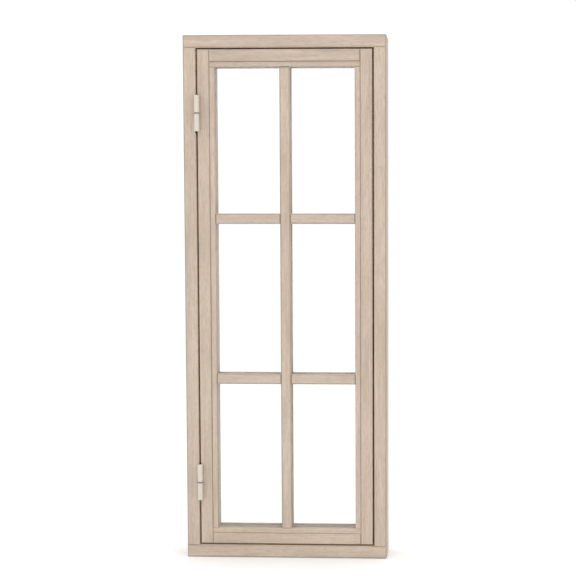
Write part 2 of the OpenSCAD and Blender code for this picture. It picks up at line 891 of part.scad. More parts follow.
// A rod with its rack, drawn upwards from the pinion's axis to its tip at height l
module rod(l) {
    rotate([90, 0, 0]) linear_extrude(pinion_w, center = true) {
        rack_profile();
        translate([-rod_r, rack_high]) square([rod_r + pitch_r + dedendum + rack_bar_t, rack_block_h]);
    }
    translate([0, 0, rack_high + 1]) cylinder(r = rod_r, h = l - rack_high - 1 - tip_chamfer);
    translate([0, 0, l - tip_chamfer]) cylinder(r1 = rod_r, r2 = rod_r - tip_chamfer, h = tip_chamfer);
}

module upper_rod() {
    color(steel) translate([latch_x, at(rod_depth), latch_z]) rod(upper_tip - latch_z);
}

module lower_rod() {
    color(steel) translate([latch_x, at(rod_depth), latch_z]) rotate([0, 180, 0]) rod(latch_z - lower_tip);
}

module handle_spindle() {
    half = spindle_s / 2;
    color(steel) bar(latch_x - half, latch_x + half, sash_back + 2 * run, hub_front + spindle_grip - fit,
        latch_z - half, latch_z + half);
}

// The grub screw that holds the lever on its spindle, from the hub's rim inwards
module grub(grow = 0) {
    inner = spindle_s / 2 + (grow > 0 ? 0 : fit);
    translate([latch_x, at(hub_front + spindle_grip / 2), latch_z - hub_d / 2 + (grow > 0 ? -1 : 0.5)])
        cylinder(d = grub_d + 2 * grow, h = hub_d / 2 - inner - (grow > 0 ? -1 : 0.5));
}

module handle_lever() {
    tip_r = lever_tip_d / 2;
    hole = spindle_s + 2 * fit;
    color(steel) difference() {
        union() {
            on_spindle(hub_d / 2, case_t + hub_stand, case_t + hub_stand + hub_h);
            translate([latch_x, at(hub_front + hub_h), latch_z]) rotate([90, 0, 0])
                linear_extrude(lever_t) {
                    polygon([[-tip_r - 1, 0], [tip_r + 1, 0], [tip_r, lever_l], [-tip_r, lever_l]]);
                    translate([0, lever_l]) circle(r = tip_r);
                }
        }
        translate([latch_x - hole / 2, at(hub_front - 1), latch_z - hole / 2])
            cube([hole, spindle_grip + 1, hole]);
        grub(fit);
    }
}

module handle_screw() {
    color(steel) grub();
}

/* Keeps */

module keep_screw_pair(grow = 0) {
    for (side = [-1, 1])
        translate([latch_x + side * keep_screw_x, at(keep_front + keep_d / 2), frame_t + keep_h])
            rotate([180, 0, 0]) screw(latch_screw_d, keep_screw_l, latch_head_d, grow);
}

module keep() {
    difference() {
        bar(latch_x - keep_w / 2, latch_x + keep_w / 2, keep_front, keep_front + keep_d,
            frame_t, frame_t + keep_h);
        translate([latch_x, at(rod_depth), frame_t + keep_h / 2])
            cube([keep_opening, keep_opening, keep_h + 2], center = true);
        keep_screw_pair(fit);
    }
}

module keep_head() {
    color(steel) at_head() keep();
}

module keep_sill() {
    color(steel) keep();
}

module keep_screws() {
    color(steel) {
        keep_screw_pair();
        at_head() keep_screw_pair();
    }
}

frame_head();
frame_sill();
frame_jamb_hinge();
frame_jamb_lock();
frame_corner_screws();
frame_weatherstrip();
keep_head();
keep_sill();
keep_screws();
frame_leaf(hinge_heights[1]);  // hinge_frame_leaf_upper
frame_leaf(hinge_heights[0]);  // hinge_frame_leaf_lower
hinge_pins();
hinge_washers();
hinge_frame_screws();
sash_leaf(hinge_heights[1]);  // hinge_sash_leaf_upper
sash_leaf(hinge_heights[0]);  // hinge_sash_leaf_lower
hinge_sash_screws();
sash_stile_hinge();
sash_stile_lock();
sash_rail_top();
sash_rail_bottom();
sash_dowels();
glass_outer();
glass_inner();
glass_spacer();
glass_sealant();
cavity_bars();
setting_blocks();
tape_outer();
tape_inner();
bead_top();
bead_hinge_side();
bead_lock_side();
bead_bottom();
bead_pins();
muntin_outer_vertical();
muntin_row(-1, 1);  // muntin_outer_upper_left
muntin_row(1, 1);  // muntin_outer_upper_right
muntin_row(-1, -1);  // muntin_outer_lower_left
muntin_row(1, -1);  // muntin_outer_lower_right
muntin_inner_vertical();
muntin_row(-1, 1, true);  // muntin_inner_upper_left
muntin_row(1, 1, true);  // muntin_inner_upper_right
muntin_row(-1, -1, true);  // muntin_inner_lower_left
muntin_row(1, -1, true);  // muntin_inner_lower_right
latch_backplate();
latch_case();
latch_case_screws();
rod_guides();
rod_guide_screws();
drive_pinion();
handle_spindle();
handle_lever();
handle_screw();
upper_rod();
lower_rod();
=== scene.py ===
"""Finished surfaces, fine pieces, stage and camera for a timber casement window with six lights."""
import json
import math

import bmesh
import bpy
from mathutils import Matrix, Vector


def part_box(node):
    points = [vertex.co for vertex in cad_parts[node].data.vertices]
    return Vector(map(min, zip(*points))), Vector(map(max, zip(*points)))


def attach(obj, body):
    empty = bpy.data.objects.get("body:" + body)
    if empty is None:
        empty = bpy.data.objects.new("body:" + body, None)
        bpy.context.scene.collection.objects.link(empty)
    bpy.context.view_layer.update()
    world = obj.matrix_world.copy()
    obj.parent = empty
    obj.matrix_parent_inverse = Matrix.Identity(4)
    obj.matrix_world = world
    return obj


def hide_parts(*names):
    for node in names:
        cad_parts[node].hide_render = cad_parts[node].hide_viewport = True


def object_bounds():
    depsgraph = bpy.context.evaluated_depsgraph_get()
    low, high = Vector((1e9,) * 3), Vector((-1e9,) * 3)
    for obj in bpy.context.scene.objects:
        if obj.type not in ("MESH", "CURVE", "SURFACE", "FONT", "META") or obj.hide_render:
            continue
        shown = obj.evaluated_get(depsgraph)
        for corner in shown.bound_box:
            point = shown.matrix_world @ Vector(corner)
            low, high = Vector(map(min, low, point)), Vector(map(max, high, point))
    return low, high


bl_info = {
    "name": "Casement Window",
    "version": (1, 0, 0),
    "blender": (4, 5, 0),
    "location": "View3D > Sidebar > Casement",
    "description": "Finishes a timber casement window: boards, glazing, hinges, espagnolette and stage",
    "category": "Object",
}

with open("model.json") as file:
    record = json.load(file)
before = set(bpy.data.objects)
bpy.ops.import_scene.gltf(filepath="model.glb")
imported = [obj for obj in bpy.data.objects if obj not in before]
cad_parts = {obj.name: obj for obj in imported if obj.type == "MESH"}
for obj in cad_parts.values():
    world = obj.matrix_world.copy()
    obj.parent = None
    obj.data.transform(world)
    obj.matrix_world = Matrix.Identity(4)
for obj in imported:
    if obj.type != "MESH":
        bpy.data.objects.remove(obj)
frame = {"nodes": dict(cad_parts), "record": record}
NODES = frame["nodes"]
cad_low, cad_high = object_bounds()
BODY_OF = {node: body for body, nodes in frame["record"]["behaviour"]["bodies"].items() for node in nodes}
SLOT_OF = {part["node"]: part["material_slot"] for part in frame["record"]["subparts"]}

MM = 0.001
# Points closer than this count as lying at one place
TOUCHING = 0.1 * MM
# Where the frame's outdoor face lies; the hinges stand out in front of it
FRONT = cad_high.y - (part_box("frame_head")[1].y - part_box("frame_head")[0].y)

FRAME_BOARDS = {
    "frame_head": "X", "frame_sill": "X", "frame_jamb_hinge": "Z", "frame_jamb_lock": "Z",
}
SASH_BOARDS = {
    "sash_stile_hinge": "Z", "sash_stile_lock": "Z", "sash_rail_top": "X", "sash_rail_bottom": "X",
}
# Boards whose wood is a little deeper or paler than the rest
BOARD_TONES = {
    "sash_rail_top": 0.93, "bead_top": 0.96, "muntin_outer_vertical": 0.985, "sash_rail_bottom": 1.04,
}
BEADS = {
    "bead_top": "X", "bead_bottom": "X", "bead_hinge_side": "Z", "bead_lock_side": "Z",
    "muntin_outer_vertical": "Z", "muntin_inner_vertical": "Z",
    **{
        f"muntin_{face}_{row}_{side}": "X"
        for face in ("outer", "inner") for row in ("upper", "lower") for side in ("left", "right")
    },
}


# Sizes and colours

class CasementTimber(bpy.types.PropertyGroup):
    """The wood of the frame, the sash, the beads and the muntins."""
    tone: bpy.props.FloatVectorProperty(
        name="Tone", description="Colour of the planed wood", subtype="COLOR", size=3,
        default=(0.625, 0.520, 0.424), min=0, max=1)
    late_wood: bpy.props.FloatVectorProperty(
        name="Late wood", description="Colour of the darker growth rings and pores",
        subtype="COLOR", size=3, default=(0.400, 0.300, 0.220), min=0, max=1)
    blush: bpy.props.FloatVectorProperty(
        name="Blush", description="Colour of the rosier patches", subtype="COLOR", size=3,
        default=(0.600, 0.475, 0.395), min=0, max=1)
    # Painted shade: the grey laid on the frame's outer arrises and sides and on the muntins' edges; it also
    # tints the wood's grey clouds
    grey_and_arris_shade: bpy.props.FloatVectorProperty(
        name="Weathered", description="Colour of the greyed outer arrises", subtype="COLOR", size=3,
        default=(0.300, 0.272, 0.232), min=0, max=1)
    # Dirt and painted shade in the joints, along the gap round the sash and along the glass
    joint: bpy.props.FloatVectorProperty(
        name="Joint", description="Colour of the eased edges along the joints", subtype="COLOR", size=3,
        default=(0.230, 0.163, 0.110), min=0, max=1)
    sight_edge: bpy.props.FloatProperty(
        name="Sight edge", description="How far the edges along the glass take the joints' colour",
        subtype="FACTOR", default=0.15, min=0, max=1)
    ring_spacing: bpy.props.FloatProperty(
        name="Ring spacing", description="Distance between growth rings", unit="LENGTH",
        default=0.0042, min=0.0005, max=0.02)
    figure: bpy.props.FloatProperty(
        name="Figure", description="Strength of the growth rings", subtype="FACTOR",
        default=0.50, min=0, max=1)
    frame_arris: bpy.props.FloatProperty(
        name="Frame arris", description="Radius of the frame's outer edges", unit="LENGTH",
        default=0.0032, min=0, max=0.005)
    gap_arris: bpy.props.FloatProperty(
        name="Gap arris", description="Radius of the edges on both sides of the gap round the sash",
        unit="LENGTH", default=0.0024, min=0, max=0.003)
    shoulder_arris: bpy.props.FloatProperty(
        name="Shoulder arris", description="Radius of the rails' edges against the lock stile",
        unit="LENGTH", default=0.0022, min=0, max=0.003)
    muntin_arris: bpy.props.FloatProperty(
        name="Muntin arris", description="Radius of the muntins' edges", unit="LENGTH",
        default=0.0018, min=0, max=0.003)
    arris: bpy.props.FloatProperty(
        name="Arris", description="Radius of every other planed edge", unit="LENGTH",
        default=0.0011, min=0, max=0.002)
    eased_corner: bpy.props.FloatProperty(
        name="Eased corner", description="Radius of the head's and the sill's corners on the lock side",
        unit="LENGTH", default=0.0038, min=0, max=0.012)


class CasementHardware(bpy.types.PropertyGroup):
    """Hinges, screws and the espagnolette."""
    coat: bpy.props.FloatVectorProperty(
        name="Coat", description="Colour of the powder coat", subtype="COLOR", size=3,
        default=(0.648, 0.588, 0.520), min=0, max=1)
    washer: bpy.props.FloatVectorProperty(
        name="Washer", description="Colour of the hinge washers", subtype="COLOR", size=3,
        default=(0.230, 0.200, 0.170), min=0, max=1)
    zinc: bpy.props.FloatVectorProperty(
        name="Zinc", description="Colour of the plated steel", subtype="COLOR", size=3,
        default=(0.62, 0.62, 0.60), min=0, max=1)
    edge: bpy.props.FloatProperty(
        name="Edge", description="Radius of the hardware's edges", unit="LENGTH",
        default=0.0003, min=0, max=0.001)
    thread_pitch: bpy.props.FloatProperty(
        name="Thread pitch", description="Rise of a screw's thread per turn, as a share of its diameter",
        subtype="FACTOR", default=0.45, min=0.2, max=1)


class CasementGlazing(bpy.types.PropertyGroup):
    """Panes, spacer and seals."""
    glass: bpy.props.FloatVectorProperty(
        name="Glass", description="Tint of the float glass", subtype="COLOR", size=3,
        default=(0.996, 0.999, 0.998), min=0, max=1)
    # The spacer's own grey, darkened as painted shade in the reveals round the glass
    spacer: bpy.props.FloatVectorProperty(
        name="Spacer", description="Colour of the spacer and of the bars between the panes",
        subtype="COLOR", size=3, default=(0.500, 0.455, 0.395), min=0, max=1)
    # The weatherstrip's own brown, kept light as painted light in the deep gap round the sash
    rubber: bpy.props.FloatVectorProperty(
        name="Rubber", description="Colour of the weatherstrip", subtype="COLOR", size=3,
        default=(0.380, 0.285, 0.200), min=0, max=1)
    strip_corner: bpy.props.FloatProperty(
        name="Strip corner", description="Radius at which the weatherstrip turns a corner", unit="LENGTH",
        default=0.0035, min=0.001, max=0.01)
    bulb_pinch: bpy.props.FloatProperty(
        name="Bulb pinch", description="How far the weatherstrip narrows between its lips and its bulb",
        subtype="FACTOR", default=0.30, min=0, max=0.6)


class CasementStage(bpy.types.PropertyGroup):
    """Floor, light and camera."""
    sky: bpy.props.FloatProperty(
        name="Sky", description="Strength of the even white light all round", default=1.06, min=0, max=3)
    overhead: bpy.props.FloatProperty(
        name="Overhead", description="Power of the overhead softbox", unit="POWER",
        default=30.0, min=0, max=1000)
    key: bpy.props.FloatProperty(
        name="Key", description="Power of the softbox at the front right", unit="POWER",
        default=9.0, min=0, max=1000)
    camera_place: bpy.props.FloatVectorProperty(
        name="Camera place", description="Where the camera stands", subtype="XYZ", size=3, unit="LENGTH",
        default=(0.407, -3.203, 0.861))
    camera_down: bpy.props.FloatProperty(
        name="Camera down", description="How far the camera looks down", subtype="ANGLE",
        default=math.radians(3.71))
    camera_left: bpy.props.FloatProperty(
        name="Camera left", description="How far the camera turns to the left", subtype="ANGLE",
        default=math.radians(2.35))
    lens: bpy.props.FloatProperty(name="Lens", description="Focal length in millimetres", default=82.07)
    lens_shift: bpy.props.FloatProperty(
        name="Lens shift", description="Sideways shift of the lens, as a share of the picture's width",
        default=-0.1944)


GROUPS = {
    "casement_timber": CasementTimber,
    "casement_hardware": CasementHardware,
    "casement_glazing": CasementGlazing,
    "casement_stage": CasementStage,
}


# Node trees

class Wiring:
    """Adds nodes to a shader or geometry tree and joins them."""

    def __init__(self, tree):
        self.tree = tree

    def add(self, kind, values=None, **settings):
        node = self.tree.nodes.new(kind)
        for name, value in settings.items():
            setattr(node, name, value)
        for key, value in (values or {}).items():
            self.put(node.inputs[key], value)
        return node

    def put(self, socket, value):
        if isinstance(value, bpy.types.NodeSocket):
            self.tree.links.new(value, socket)
        else:
            socket.default_value = value

    def math(self, operation, *values):
        node = self.add("ShaderNodeMath", operation=operation)
        for socket, value in zip(node.inputs, values):
            self.put(socket, value)
        return node.outputs[0]

    def times(self, first, *others):
        for value in others:
            first = self.math("MULTIPLY", first, value)
        return first

    def plus(self, first, second):
        return self.math("ADD", first, second)

    def minus(self, first, second):
        return self.math("SUBTRACT", first, second)

    def stretch(self, where, by):
        return self.add("ShaderNodeVectorMath", {0: where, 1: by}, operation="MULTIPLY").outputs["Vector"]

    def split(self, where):
        return self.add("ShaderNodeSeparateXYZ", {0: where}).outputs

    def place(self):
        return self.add("ShaderNodeTexCoord").outputs["Object"]

    def facing(self):
        return self.add("ShaderNodeNewGeometry").outputs["Normal"]

    def attribute(self, name, output="Fac"):
        return self.add("ShaderNodeAttribute", attribute_name=name).outputs[output]

    def span(self, value, low, high, to_low=0.0, to_high=1.0):
        node = self.add("ShaderNodeMapRange", {
            "Value": value, "From Min": low, "From Max": high, "To Min": to_low, "To Max": to_high})
        return node.outputs["Result"]

    def noise(self, where, scale, detail=2.0, roughness=0.5, distortion=0.0):
        node = self.add("ShaderNodeTexNoise", {
            "Vector": where, "Scale": scale, "Detail": detail, "Roughness": roughness,
            "Distortion": distortion})
        return node.outputs["Fac"]

    def blend(self, share, first, second, mode="MIX"):
        node = self.add("ShaderNodeMix", data_type="RGBA", blend_type=mode)
        self.put(node.inputs[0], share)
        self.put(node.inputs[6], first)
        self.put(node.inputs[7], second)
        return node.outputs[2]


def new_group(name, kind, inputs, outputs):
    """A node group with named sockets; returns it with its wiring and the sockets inside it."""
    group = bpy.data.node_groups.new(name, kind)
    for way, sockets in (("INPUT", inputs), ("OUTPUT", outputs)):
        for label, (socket_type, default) in sockets.items():
            socket = group.interface.new_socket(label, in_out=way, socket_type=socket_type)
            if default is not None:
                socket.default_value = default
    wires = Wiring(group)
    return group, wires, wires.add("NodeGroupInput").outputs, wires.add("NodeGroupOutput").inputs


VALUE, VECTOR, WHOLE = "NodeSocketFloat", "NodeSocketVector", "NodeSocketInt"
GEOMETRY, MATERIAL = "NodeSocketGeometry", "NodeSocketMaterial"

# Layers of the wood's figure: scale along and across the grain, detail, roughness, and the range kept
FIGURE_LAYERS = {
    "Fibres": (22.0, 900.0, 4.0, 0.6, 0.3, 0.7),
    "Pores": (60.0, 1500.0, 1.0, 0.4, 0.62, 0.74),
    "Blush": (3.0, 22.0, 2.0, 0.5, 0.45, 0.68),
    "Clouds": (7.0, 35.0, 3.0, 0.6, 0.50, 0.72),
    "Flecks": (70.0, 260.0, 3.0, 0.7, 0.50, 0.66),
    "Streaks": (26.0, 340.0, 2.0, 0.6, 0.42, 0.68),
}


def timber_figure_group():
    """Growth rings, fibres, pores and tone patches of a board, from its own grain coordinates."""
    group, w, given, out = new_group("timber_figure", "ShaderNodeTree", {
        "Grain": (VECTOR, None), "Ring Spacing": (VALUE, 0.004),
    }, {label: (VALUE, None) for label in ("Rings", "Patches", *FIGURE_LAYERS)})
    grain = given["Grain"]

    def layer(along, across, detail, roughness):
        return w.noise(w.stretch(grain, (along, across, across)), 1.0, detail, roughness)

    sway = w.times(w.minus(layer(1.6, 9.0, 3.0, 0.55), 0.5), 0.030)
    off_pith = w.add("ShaderNodeVectorMath", {0: w.stretch(grain, (0.0, 1.0, 1.0))}, operation="LENGTH")
    turns = w.math("DIVIDE", w.plus(off_pith.outputs["Value"], sway), given["Ring Spacing"])
    saw = w.math("FRACT", turns)
    ring = w.times(w.span(saw, 0.25, 0.9), w.span(saw, 1.0, 0.93))
    vary = w.span(layer(2.5, 60.0, 2.0, 0.5), 0.35, 0.65, 0.25, 1.0)
    w.put(out["Rings"], w.times(ring, vary))
    w.put(out["Patches"], layer(5.0, 70.0, 3.0, 0.55))
    for label, (along, across, detail, roughness, low, high) in FIGURE_LAYERS.items():
        w.put(out[label], w.span(layer(along, across, detail, roughness), low, high))
    return group


def worn_edge_group():
    """Mask of the rubbed places on eased edges, from the piece's own arris attribute."""
    group, w, given, out = new_group("worn_edge", "ShaderNodeTree", {
        "Arris": (VALUE, 0.0), "Scale": (VALUE, 120.0), "Amount": (VALUE, 0.5),
    }, {"Mask": (VALUE, None)})
    broken = w.noise(w.place(), given["Scale"], 3.0, 0.6)
    start = w.times(w.minus(1.0, given["Amount"]), 0.7)
    w.put(out["Mask"], w.times(w.span(broken, start, w.plus(start, 0.22)), given["Arris"]))
    return group


def settled_dust_group():
    """Mask of the fine dust that lies on upward faces, in soft patches."""
    group, w, given, out = new_group("settled_dust", "ShaderNodeTree", {
        "Scale": (VALUE, 40.0), "Amount": (VALUE, 0.4),
    }, {"Mask": (VALUE, None)})
    upward = w.span(w.split(w.facing())[2], 0.3, 0.9)
    patches = w.span(w.noise(w.place(), given["Scale"], 4.0, 0.65), 0.35, 0.7)
    w.put(out["Mask"], w.times(upward, patches, given["Amount"]))
    return group


def fine_skin_group():
    """Height of a fine even texture: the orange peel of a coat, or the tooth of a moulded skin."""
    group, w, given, out = new_group("fine_skin", "ShaderNodeTree", {
        "Scale": (VALUE, 900.0), "Stretch": (VECTOR, (1.0, 1.0, 1.0)),
    }, {"Height": (VALUE, None), "Tone": (VALUE, None)})
    where = w.stretch(w.place(), given["Stretch"])
    w.put(out["Height"], w.noise(where, given["Scale"], 2.0, 0.5))
    w.put(out["Tone"], w.noise(where, w.times(given["Scale"], 0.08), 3.0, 0.6))
    return group


SHARED = {}


def shared(name):
    """A shader node group, built the first time it is asked for."""
    makers = {
        "timber_figure": timber_figure_group, "worn_edge": worn_edge_group,
        "settled_dust": settled_dust_group, "fine_skin": fine_skin_group,
    }
    if name not in SHARED:
        SHARED[name] = makers[name]()
    return SHARED[name]


# Materials

MADE = {}


def new_material(name, roughness, metallic=0.0, **extra):
    material = bpy.data.materials.new(name)
    material.use_nodes = True
    w = Wiring(material.node_tree)
    shader = material.node_tree.nodes["Principled BSDF"]
    shader.inputs["Roughness"].default_value = roughness
    shader.inputs["Metallic"].default_value = metallic
    for socket, value in extra.items():
        shader.inputs[socket.replace("_", " ")].default_value = value
    return material, w, shader


def use_group(w, name, **values):
    """Places a shared node group in a material with its own values; returns its outputs."""
    node = w.add("ShaderNodeGroup", node_tree=shared(name))
    for label, value in values.items():
        w.put(node.inputs[label.replace("_", " ")], value)
    return node.outputs


def bump(w, shader, height, strength, distance):
    node = w.add("ShaderNodeBump", {"Height": height, "Strength": strength, "Distance": distance})
    w.put(shader.inputs["Normal"], node.outputs["Normal"])


def rgba(colour, factor=1.0):
    return (colour[0] * factor, colour[1] * factor, colour[2] * factor, 1.0)


def drifting(w, mask, colour, darker, lighter, low=0.3, high=0.7):
    """A colour that drifts between a darker and a lighter version of itself."""
    return w.blend(w.span(mask, low, high), rgba(colour, darker), rgba(colour, lighter))


def timber(name, shade=1.0):
    """Planed pale wood: rings, fibres, pores, rosy patches, painted shade greying the outer arrises, and
    dirt with painted shade along the joints.
    """
    look = bpy.context.scene.casement_timber
    material, w, shader = new_material(name, 0.62)
    grain = w.attribute("grain", "Vector")
    figure = use_group(w, "timber_figure", Grain=grain, Ring_Spacing=look.ring_spacing)
    late, pore = rgba(look.late_wood, shade), rgba(look.late_wood, shade * 0.6)
    grey_and_shade = rgba(look.grey_and_arris_shade, shade)
    colour = w.blend(w.times(figure["Blush"], 0.5), rgba(look.tone, shade), rgba(look.blush, shade))
    colour = w.blend(w.times(figure["Rings"], look.figure * 0.55), colour, late)
    colour = w.blend(w.span(figure["Patches"], 0.40, 0.70, 0.0, look.figure * 0.8), colour, late)
    for layer, strength, tint in (("Streaks", 0.34, late), ("Fibres", 0.16, late), ("Pores", 0.40, pore),
                                  ("Clouds", 0.30, grey_and_shade), ("Flecks", 0.38, late)):
        colour = w.blend(w.times(figure[layer], strength), colour, tint)
    # The board's own tone, with painted light on the faces inside the gap
    toned = w.add("ShaderNodeHueSaturation", {"Value": w.attribute("tone_and_gap_light"), "Color": colour})
    # outer is the painted shade on the outer arrises, the frame's sides and the muntins' edges
    edge, outer = w.attribute("arris"), w.attribute("arris_shade")
    worn = use_group(w, "worn_edge", Arris=edge, Scale=90.0, Amount=0.75)["Mask"]
    # Dirt and painted shade on the inner eased edges, less where they are rubbed
    inner_edge = w.times(edge, w.minus(1.0, outer))
    dirt_and_shade_mask = w.times(inner_edge, w.minus(0.85, w.times(worn, 0.25)))
    colour = w.blend(dirt_and_shade_mask, toned.outputs["Color"], rgba(look.joint, shade))
    # Painted shade: the outer arrises greyed, in patches
    patchy = w.math("MULTIPLY_ADD", figure["Patches"], 0.7, 0.35)
    colour = w.blend(w.times(outer, patchy), colour, grey_and_shade)
    dust = use_group(w, "settled_dust", Scale=35.0, Amount=0.18)["Mask"]
    w.put(shader.inputs["Base Color"], w.blend(dust, colour, (0.60, 0.57, 0.53, 1.0)))
    rough = w.plus(w.times(figure["Fibres"], 0.10), 0.55)
    w.put(shader.inputs["Roughness"], w.plus(rough, w.times(figure["Rings"], 0.06)))
    height = w.minus(w.times(figure["Fibres"], 0.5), figure["Pores"])
    bump(w, shader, w.plus(height, w.times(figure["Rings"], 0.6)), 0.35, 0.00015)
    return material


def powder_coat(name, colour, roughness=0.36):
    """Satin coat with a faint orange peel, rubbed on its edges."""
    material, w, shader = new_material(name, roughness)
    skin = use_group(w, "fine_skin", Scale=1400.0)
    tone = drifting(w, skin["Tone"], colour, 0.97, 1.03)
    worn = use_group(w, "worn_edge", Arris=w.attribute("arris"), Scale=260.0, Amount=0.55)["Mask"]
    tone = w.blend(w.times(worn, 0.35), tone, rgba(colour, 0.62))
    dust = use_group(w, "settled_dust", Scale=90.0, Amount=0.22)["Mask"]
    w.put(shader.inputs["Base Color"], w.blend(dust, tone, (0.55, 0.50, 0.44, 1.0)))
    rough = w.plus(w.times(skin["Tone"], 0.12), roughness - 0.05)
    w.put(shader.inputs["Roughness"], w.plus(rough, w.times(dust, 0.3)))
    bump(w, shader, skin["Height"], 0.12, 0.00008)
    return material


def plated_steel(name, colour, stretch=(1.0, 1.0, 1.0), roughness=0.32):
    """Zinc-plated steel with drawing streaks and a cloudy bloom."""
    material, w, shader = new_material(name, roughness, metallic=1.0)
    skin = use_group(w, "fine_skin", Scale=800.0, Stretch=stretch)
    cloudy = w.noise(w.place(), 55.0, 4.0, 0.6)
    tone = drifting(w, cloudy, colour, 0.86, 1.04, 0.35, 0.65)
    worn = use_group(w, "worn_edge", Arris=w.attribute("arris"), Scale=300.0, Amount=0.6)["Mask"]
    w.put(shader.inputs["Base Color"], w.blend(w.times(worn, 0.5), tone, rgba(colour, 1.25)))
    w.put(shader.inputs["Roughness"], w.span(skin["Tone"], 0.3, 0.7, roughness - 0.08, roughness + 0.12))
    bump(w, shader, skin["Height"], 0.10, 0.00005)
    return material


def moulded(name, colour, roughness=0.55, grain_scale=1600.0, strength=0.2):
    """Moulded plastic or rubber: a fine tooth, a little bloom and dust."""
    material, w, shader = new_material(name, roughness)
    skin = use_group(w, "fine_skin", Scale=grain_scale)
    tone = drifting(w, skin["Tone"], colour, 0.90, 1.15)
    dust = use_group(w, "settled_dust", Scale=120.0, Amount=0.30)["Mask"]
    w.put(shader.inputs["Base Color"], w.blend(dust, tone, (0.42, 0.38, 0.33, 1.0)))
    w.put(shader.inputs["Roughness"], w.span(skin["Tone"], 0.3, 0.7, roughness - 0.06, roughness + 0.08))
    bump(w, shader, skin["Height"], strength, 0.0001)
    return material


def float_glass(name, colour):
    """Clear float glass that lets shadow light and scattered light straight through."""
    material, w, shader = new_material(name, 0.0, Transmission_Weight=1.0, IOR=1.5)
    shader.inputs["Base Color"].default_value = rgba(colour)
    smear = w.noise(w.stretch(w.place(), (1.0, 1.0, 0.4)), 9.0, 3.0, 0.5)
    w.put(shader.inputs["Roughness"], w.span(smear, 0.62, 0.85, 0.0, 0.03))
    through = w.add("ShaderNodeBsdfTransparent", {"Color": rgba(colour)})
    path = w.add("ShaderNodeLightPath").outputs
    straight = w.math("MAXIMUM", path["Is Shadow Ray"], path["Is Diffuse Ray"])
    either = w.add("ShaderNodeMixShader", {0: straight, 1: shader.outputs[0], 2: through.outputs[0]})
    w.put(material.node_tree.nodes["Material Output"].inputs["Surface"], either.outputs[0])
    return material


def perforated_spacer(name, colour, middle, pitch=0.006, slit_height=0.0006, slit_share=0.4):
    """Matt spacer with a row of small vent slits along the side that faces the cavity, the slits painted
    dark as the shade inside them.
    """
    material, w, shader = new_material(name, 0.5)
    skin = use_group(w, "fine_skin", Scale=700.0)
    tone = drifting(w, skin["Tone"], colour, 0.93, 1.05)
    place, facing = w.split(w.place()), w.split(w.facing())
    level = w.math("GREATER_THAN", w.math("ABSOLUTE", facing[2]), 0.5)
    upright = w.math("GREATER_THAN", w.math("ABSOLUTE", facing[0]), 0.5)
    along = w.plus(w.times(level, place[0]), w.times(upright, place[2]))
    step = w.math("FRACT", w.math("DIVIDE", along, pitch))
    in_row = w.math("LESS_THAN", w.math("ABSOLUTE", w.minus(place[1], middle)), slit_height / 2)
    in_slit = w.math("LESS_THAN", w.math("ABSOLUTE", w.minus(step, 0.5)), slit_share / 2)
    slit = w.times(w.math("MAXIMUM", level, upright), w.times(in_row, in_slit))
    # Painted shade: the slits coloured nearly black
    w.put(shader.inputs["Base Color"], w.blend(slit, tone, rgba(colour, 0.12)))
    w.put(shader.inputs["Roughness"], w.span(skin["Tone"], 0.3, 0.7, 0.42, 0.58))
    bump(w, shader, w.minus(w.times(skin["Height"], 0.2), slit), 0.4, 0.0002)
    return material


def material_for(slot):
    """The material of one of the record's slots, made the first time it is asked for."""
    if slot in MADE:
        return MADE[slot]
    metal = bpy.context.scene.casement_hardware
    glazing = bpy.context.scene.casement_glazing
    spacer_middle = sum(corner.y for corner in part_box("glass_spacer")) / 2
    makers = {
        "frame_wood": lambda: timber("frame_wood", 0.985),
        "sash_wood": lambda: timber("sash_wood", 1.0),
        "bead_wood": lambda: timber("bead_wood", 1.01),
        "dowels": lambda: timber("dowels", 0.86),
        "hinge_cream": lambda: powder_coat("hinge_cream", metal.coat),
        "latch_metal": lambda: powder_coat("latch_metal", metal.coat, 0.40),
        "washers": lambda: moulded("washers", metal.washer, 0.5),
        "screws": lambda: plated_steel("screws", metal.zinc),
        "rod_steel": lambda: plated_steel("rod_steel", metal.zinc, (1.0, 1.0, 0.03), 0.28),
        "glass": lambda: float_glass("glass", glazing.glass),
        "spacer": lambda: perforated_spacer("spacer", glazing.spacer, spacer_middle),
        "seal": lambda: moulded("seal", glazing.rubber, 0.6, 1200.0, 0.25),
        "blocks": lambda: moulded("blocks", (0.09, 0.09, 0.10), 0.5, 500.0, 0.3),
    }
    MADE[slot] = makers[slot]()
    return MADE[slot]


# Pieces

def clean_copy(node):
    """A merged, plane-faced copy of a CAD node's mesh, as a bmesh."""
    mesh = bmesh.new()
    mesh.from_mesh(NODES[node].data)
    bmesh.ops.remove_doubles(mesh, verts=mesh.verts, dist=1e-6)
    bmesh.ops.dissolve_limit(mesh, angle_limit=math.radians(0.5), verts=mesh.verts, edges=mesh.edges)
    mesh.normal_update()
    return mesh


def finish_piece(obj, node):
    """Gives a piece its material, hangs it on its body's empty and hides the CAD node that it stands for.
    """
    body, slot = BODY_OF[node], SLOT_OF[node]
    if not obj.data.materials:
        obj.data.materials.append(material_for(slot))
    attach(obj, body)
    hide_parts(node)
    return obj


def new_piece(name, mesh):
    if isinstance(mesh, bmesh.types.BMesh):
        data = bpy.data.meshes.new(name)
        mesh.to_mesh(data)
        mesh.free()
        mesh = data
    obj = bpy.data.objects.new(name, mesh)
    bpy.context.scene.collection.objects.link(obj)
    return obj


def apply_modifiers(obj):
    """Turns an object's modifiers into plain mesh."""
    graph = bpy.context.evaluated_depsgraph_get()
    graph.update()
    data = bpy.data.meshes.new_from_object(obj.evaluated_get(graph))
    obj.modifiers.clear()
    obj.data = data
    return obj


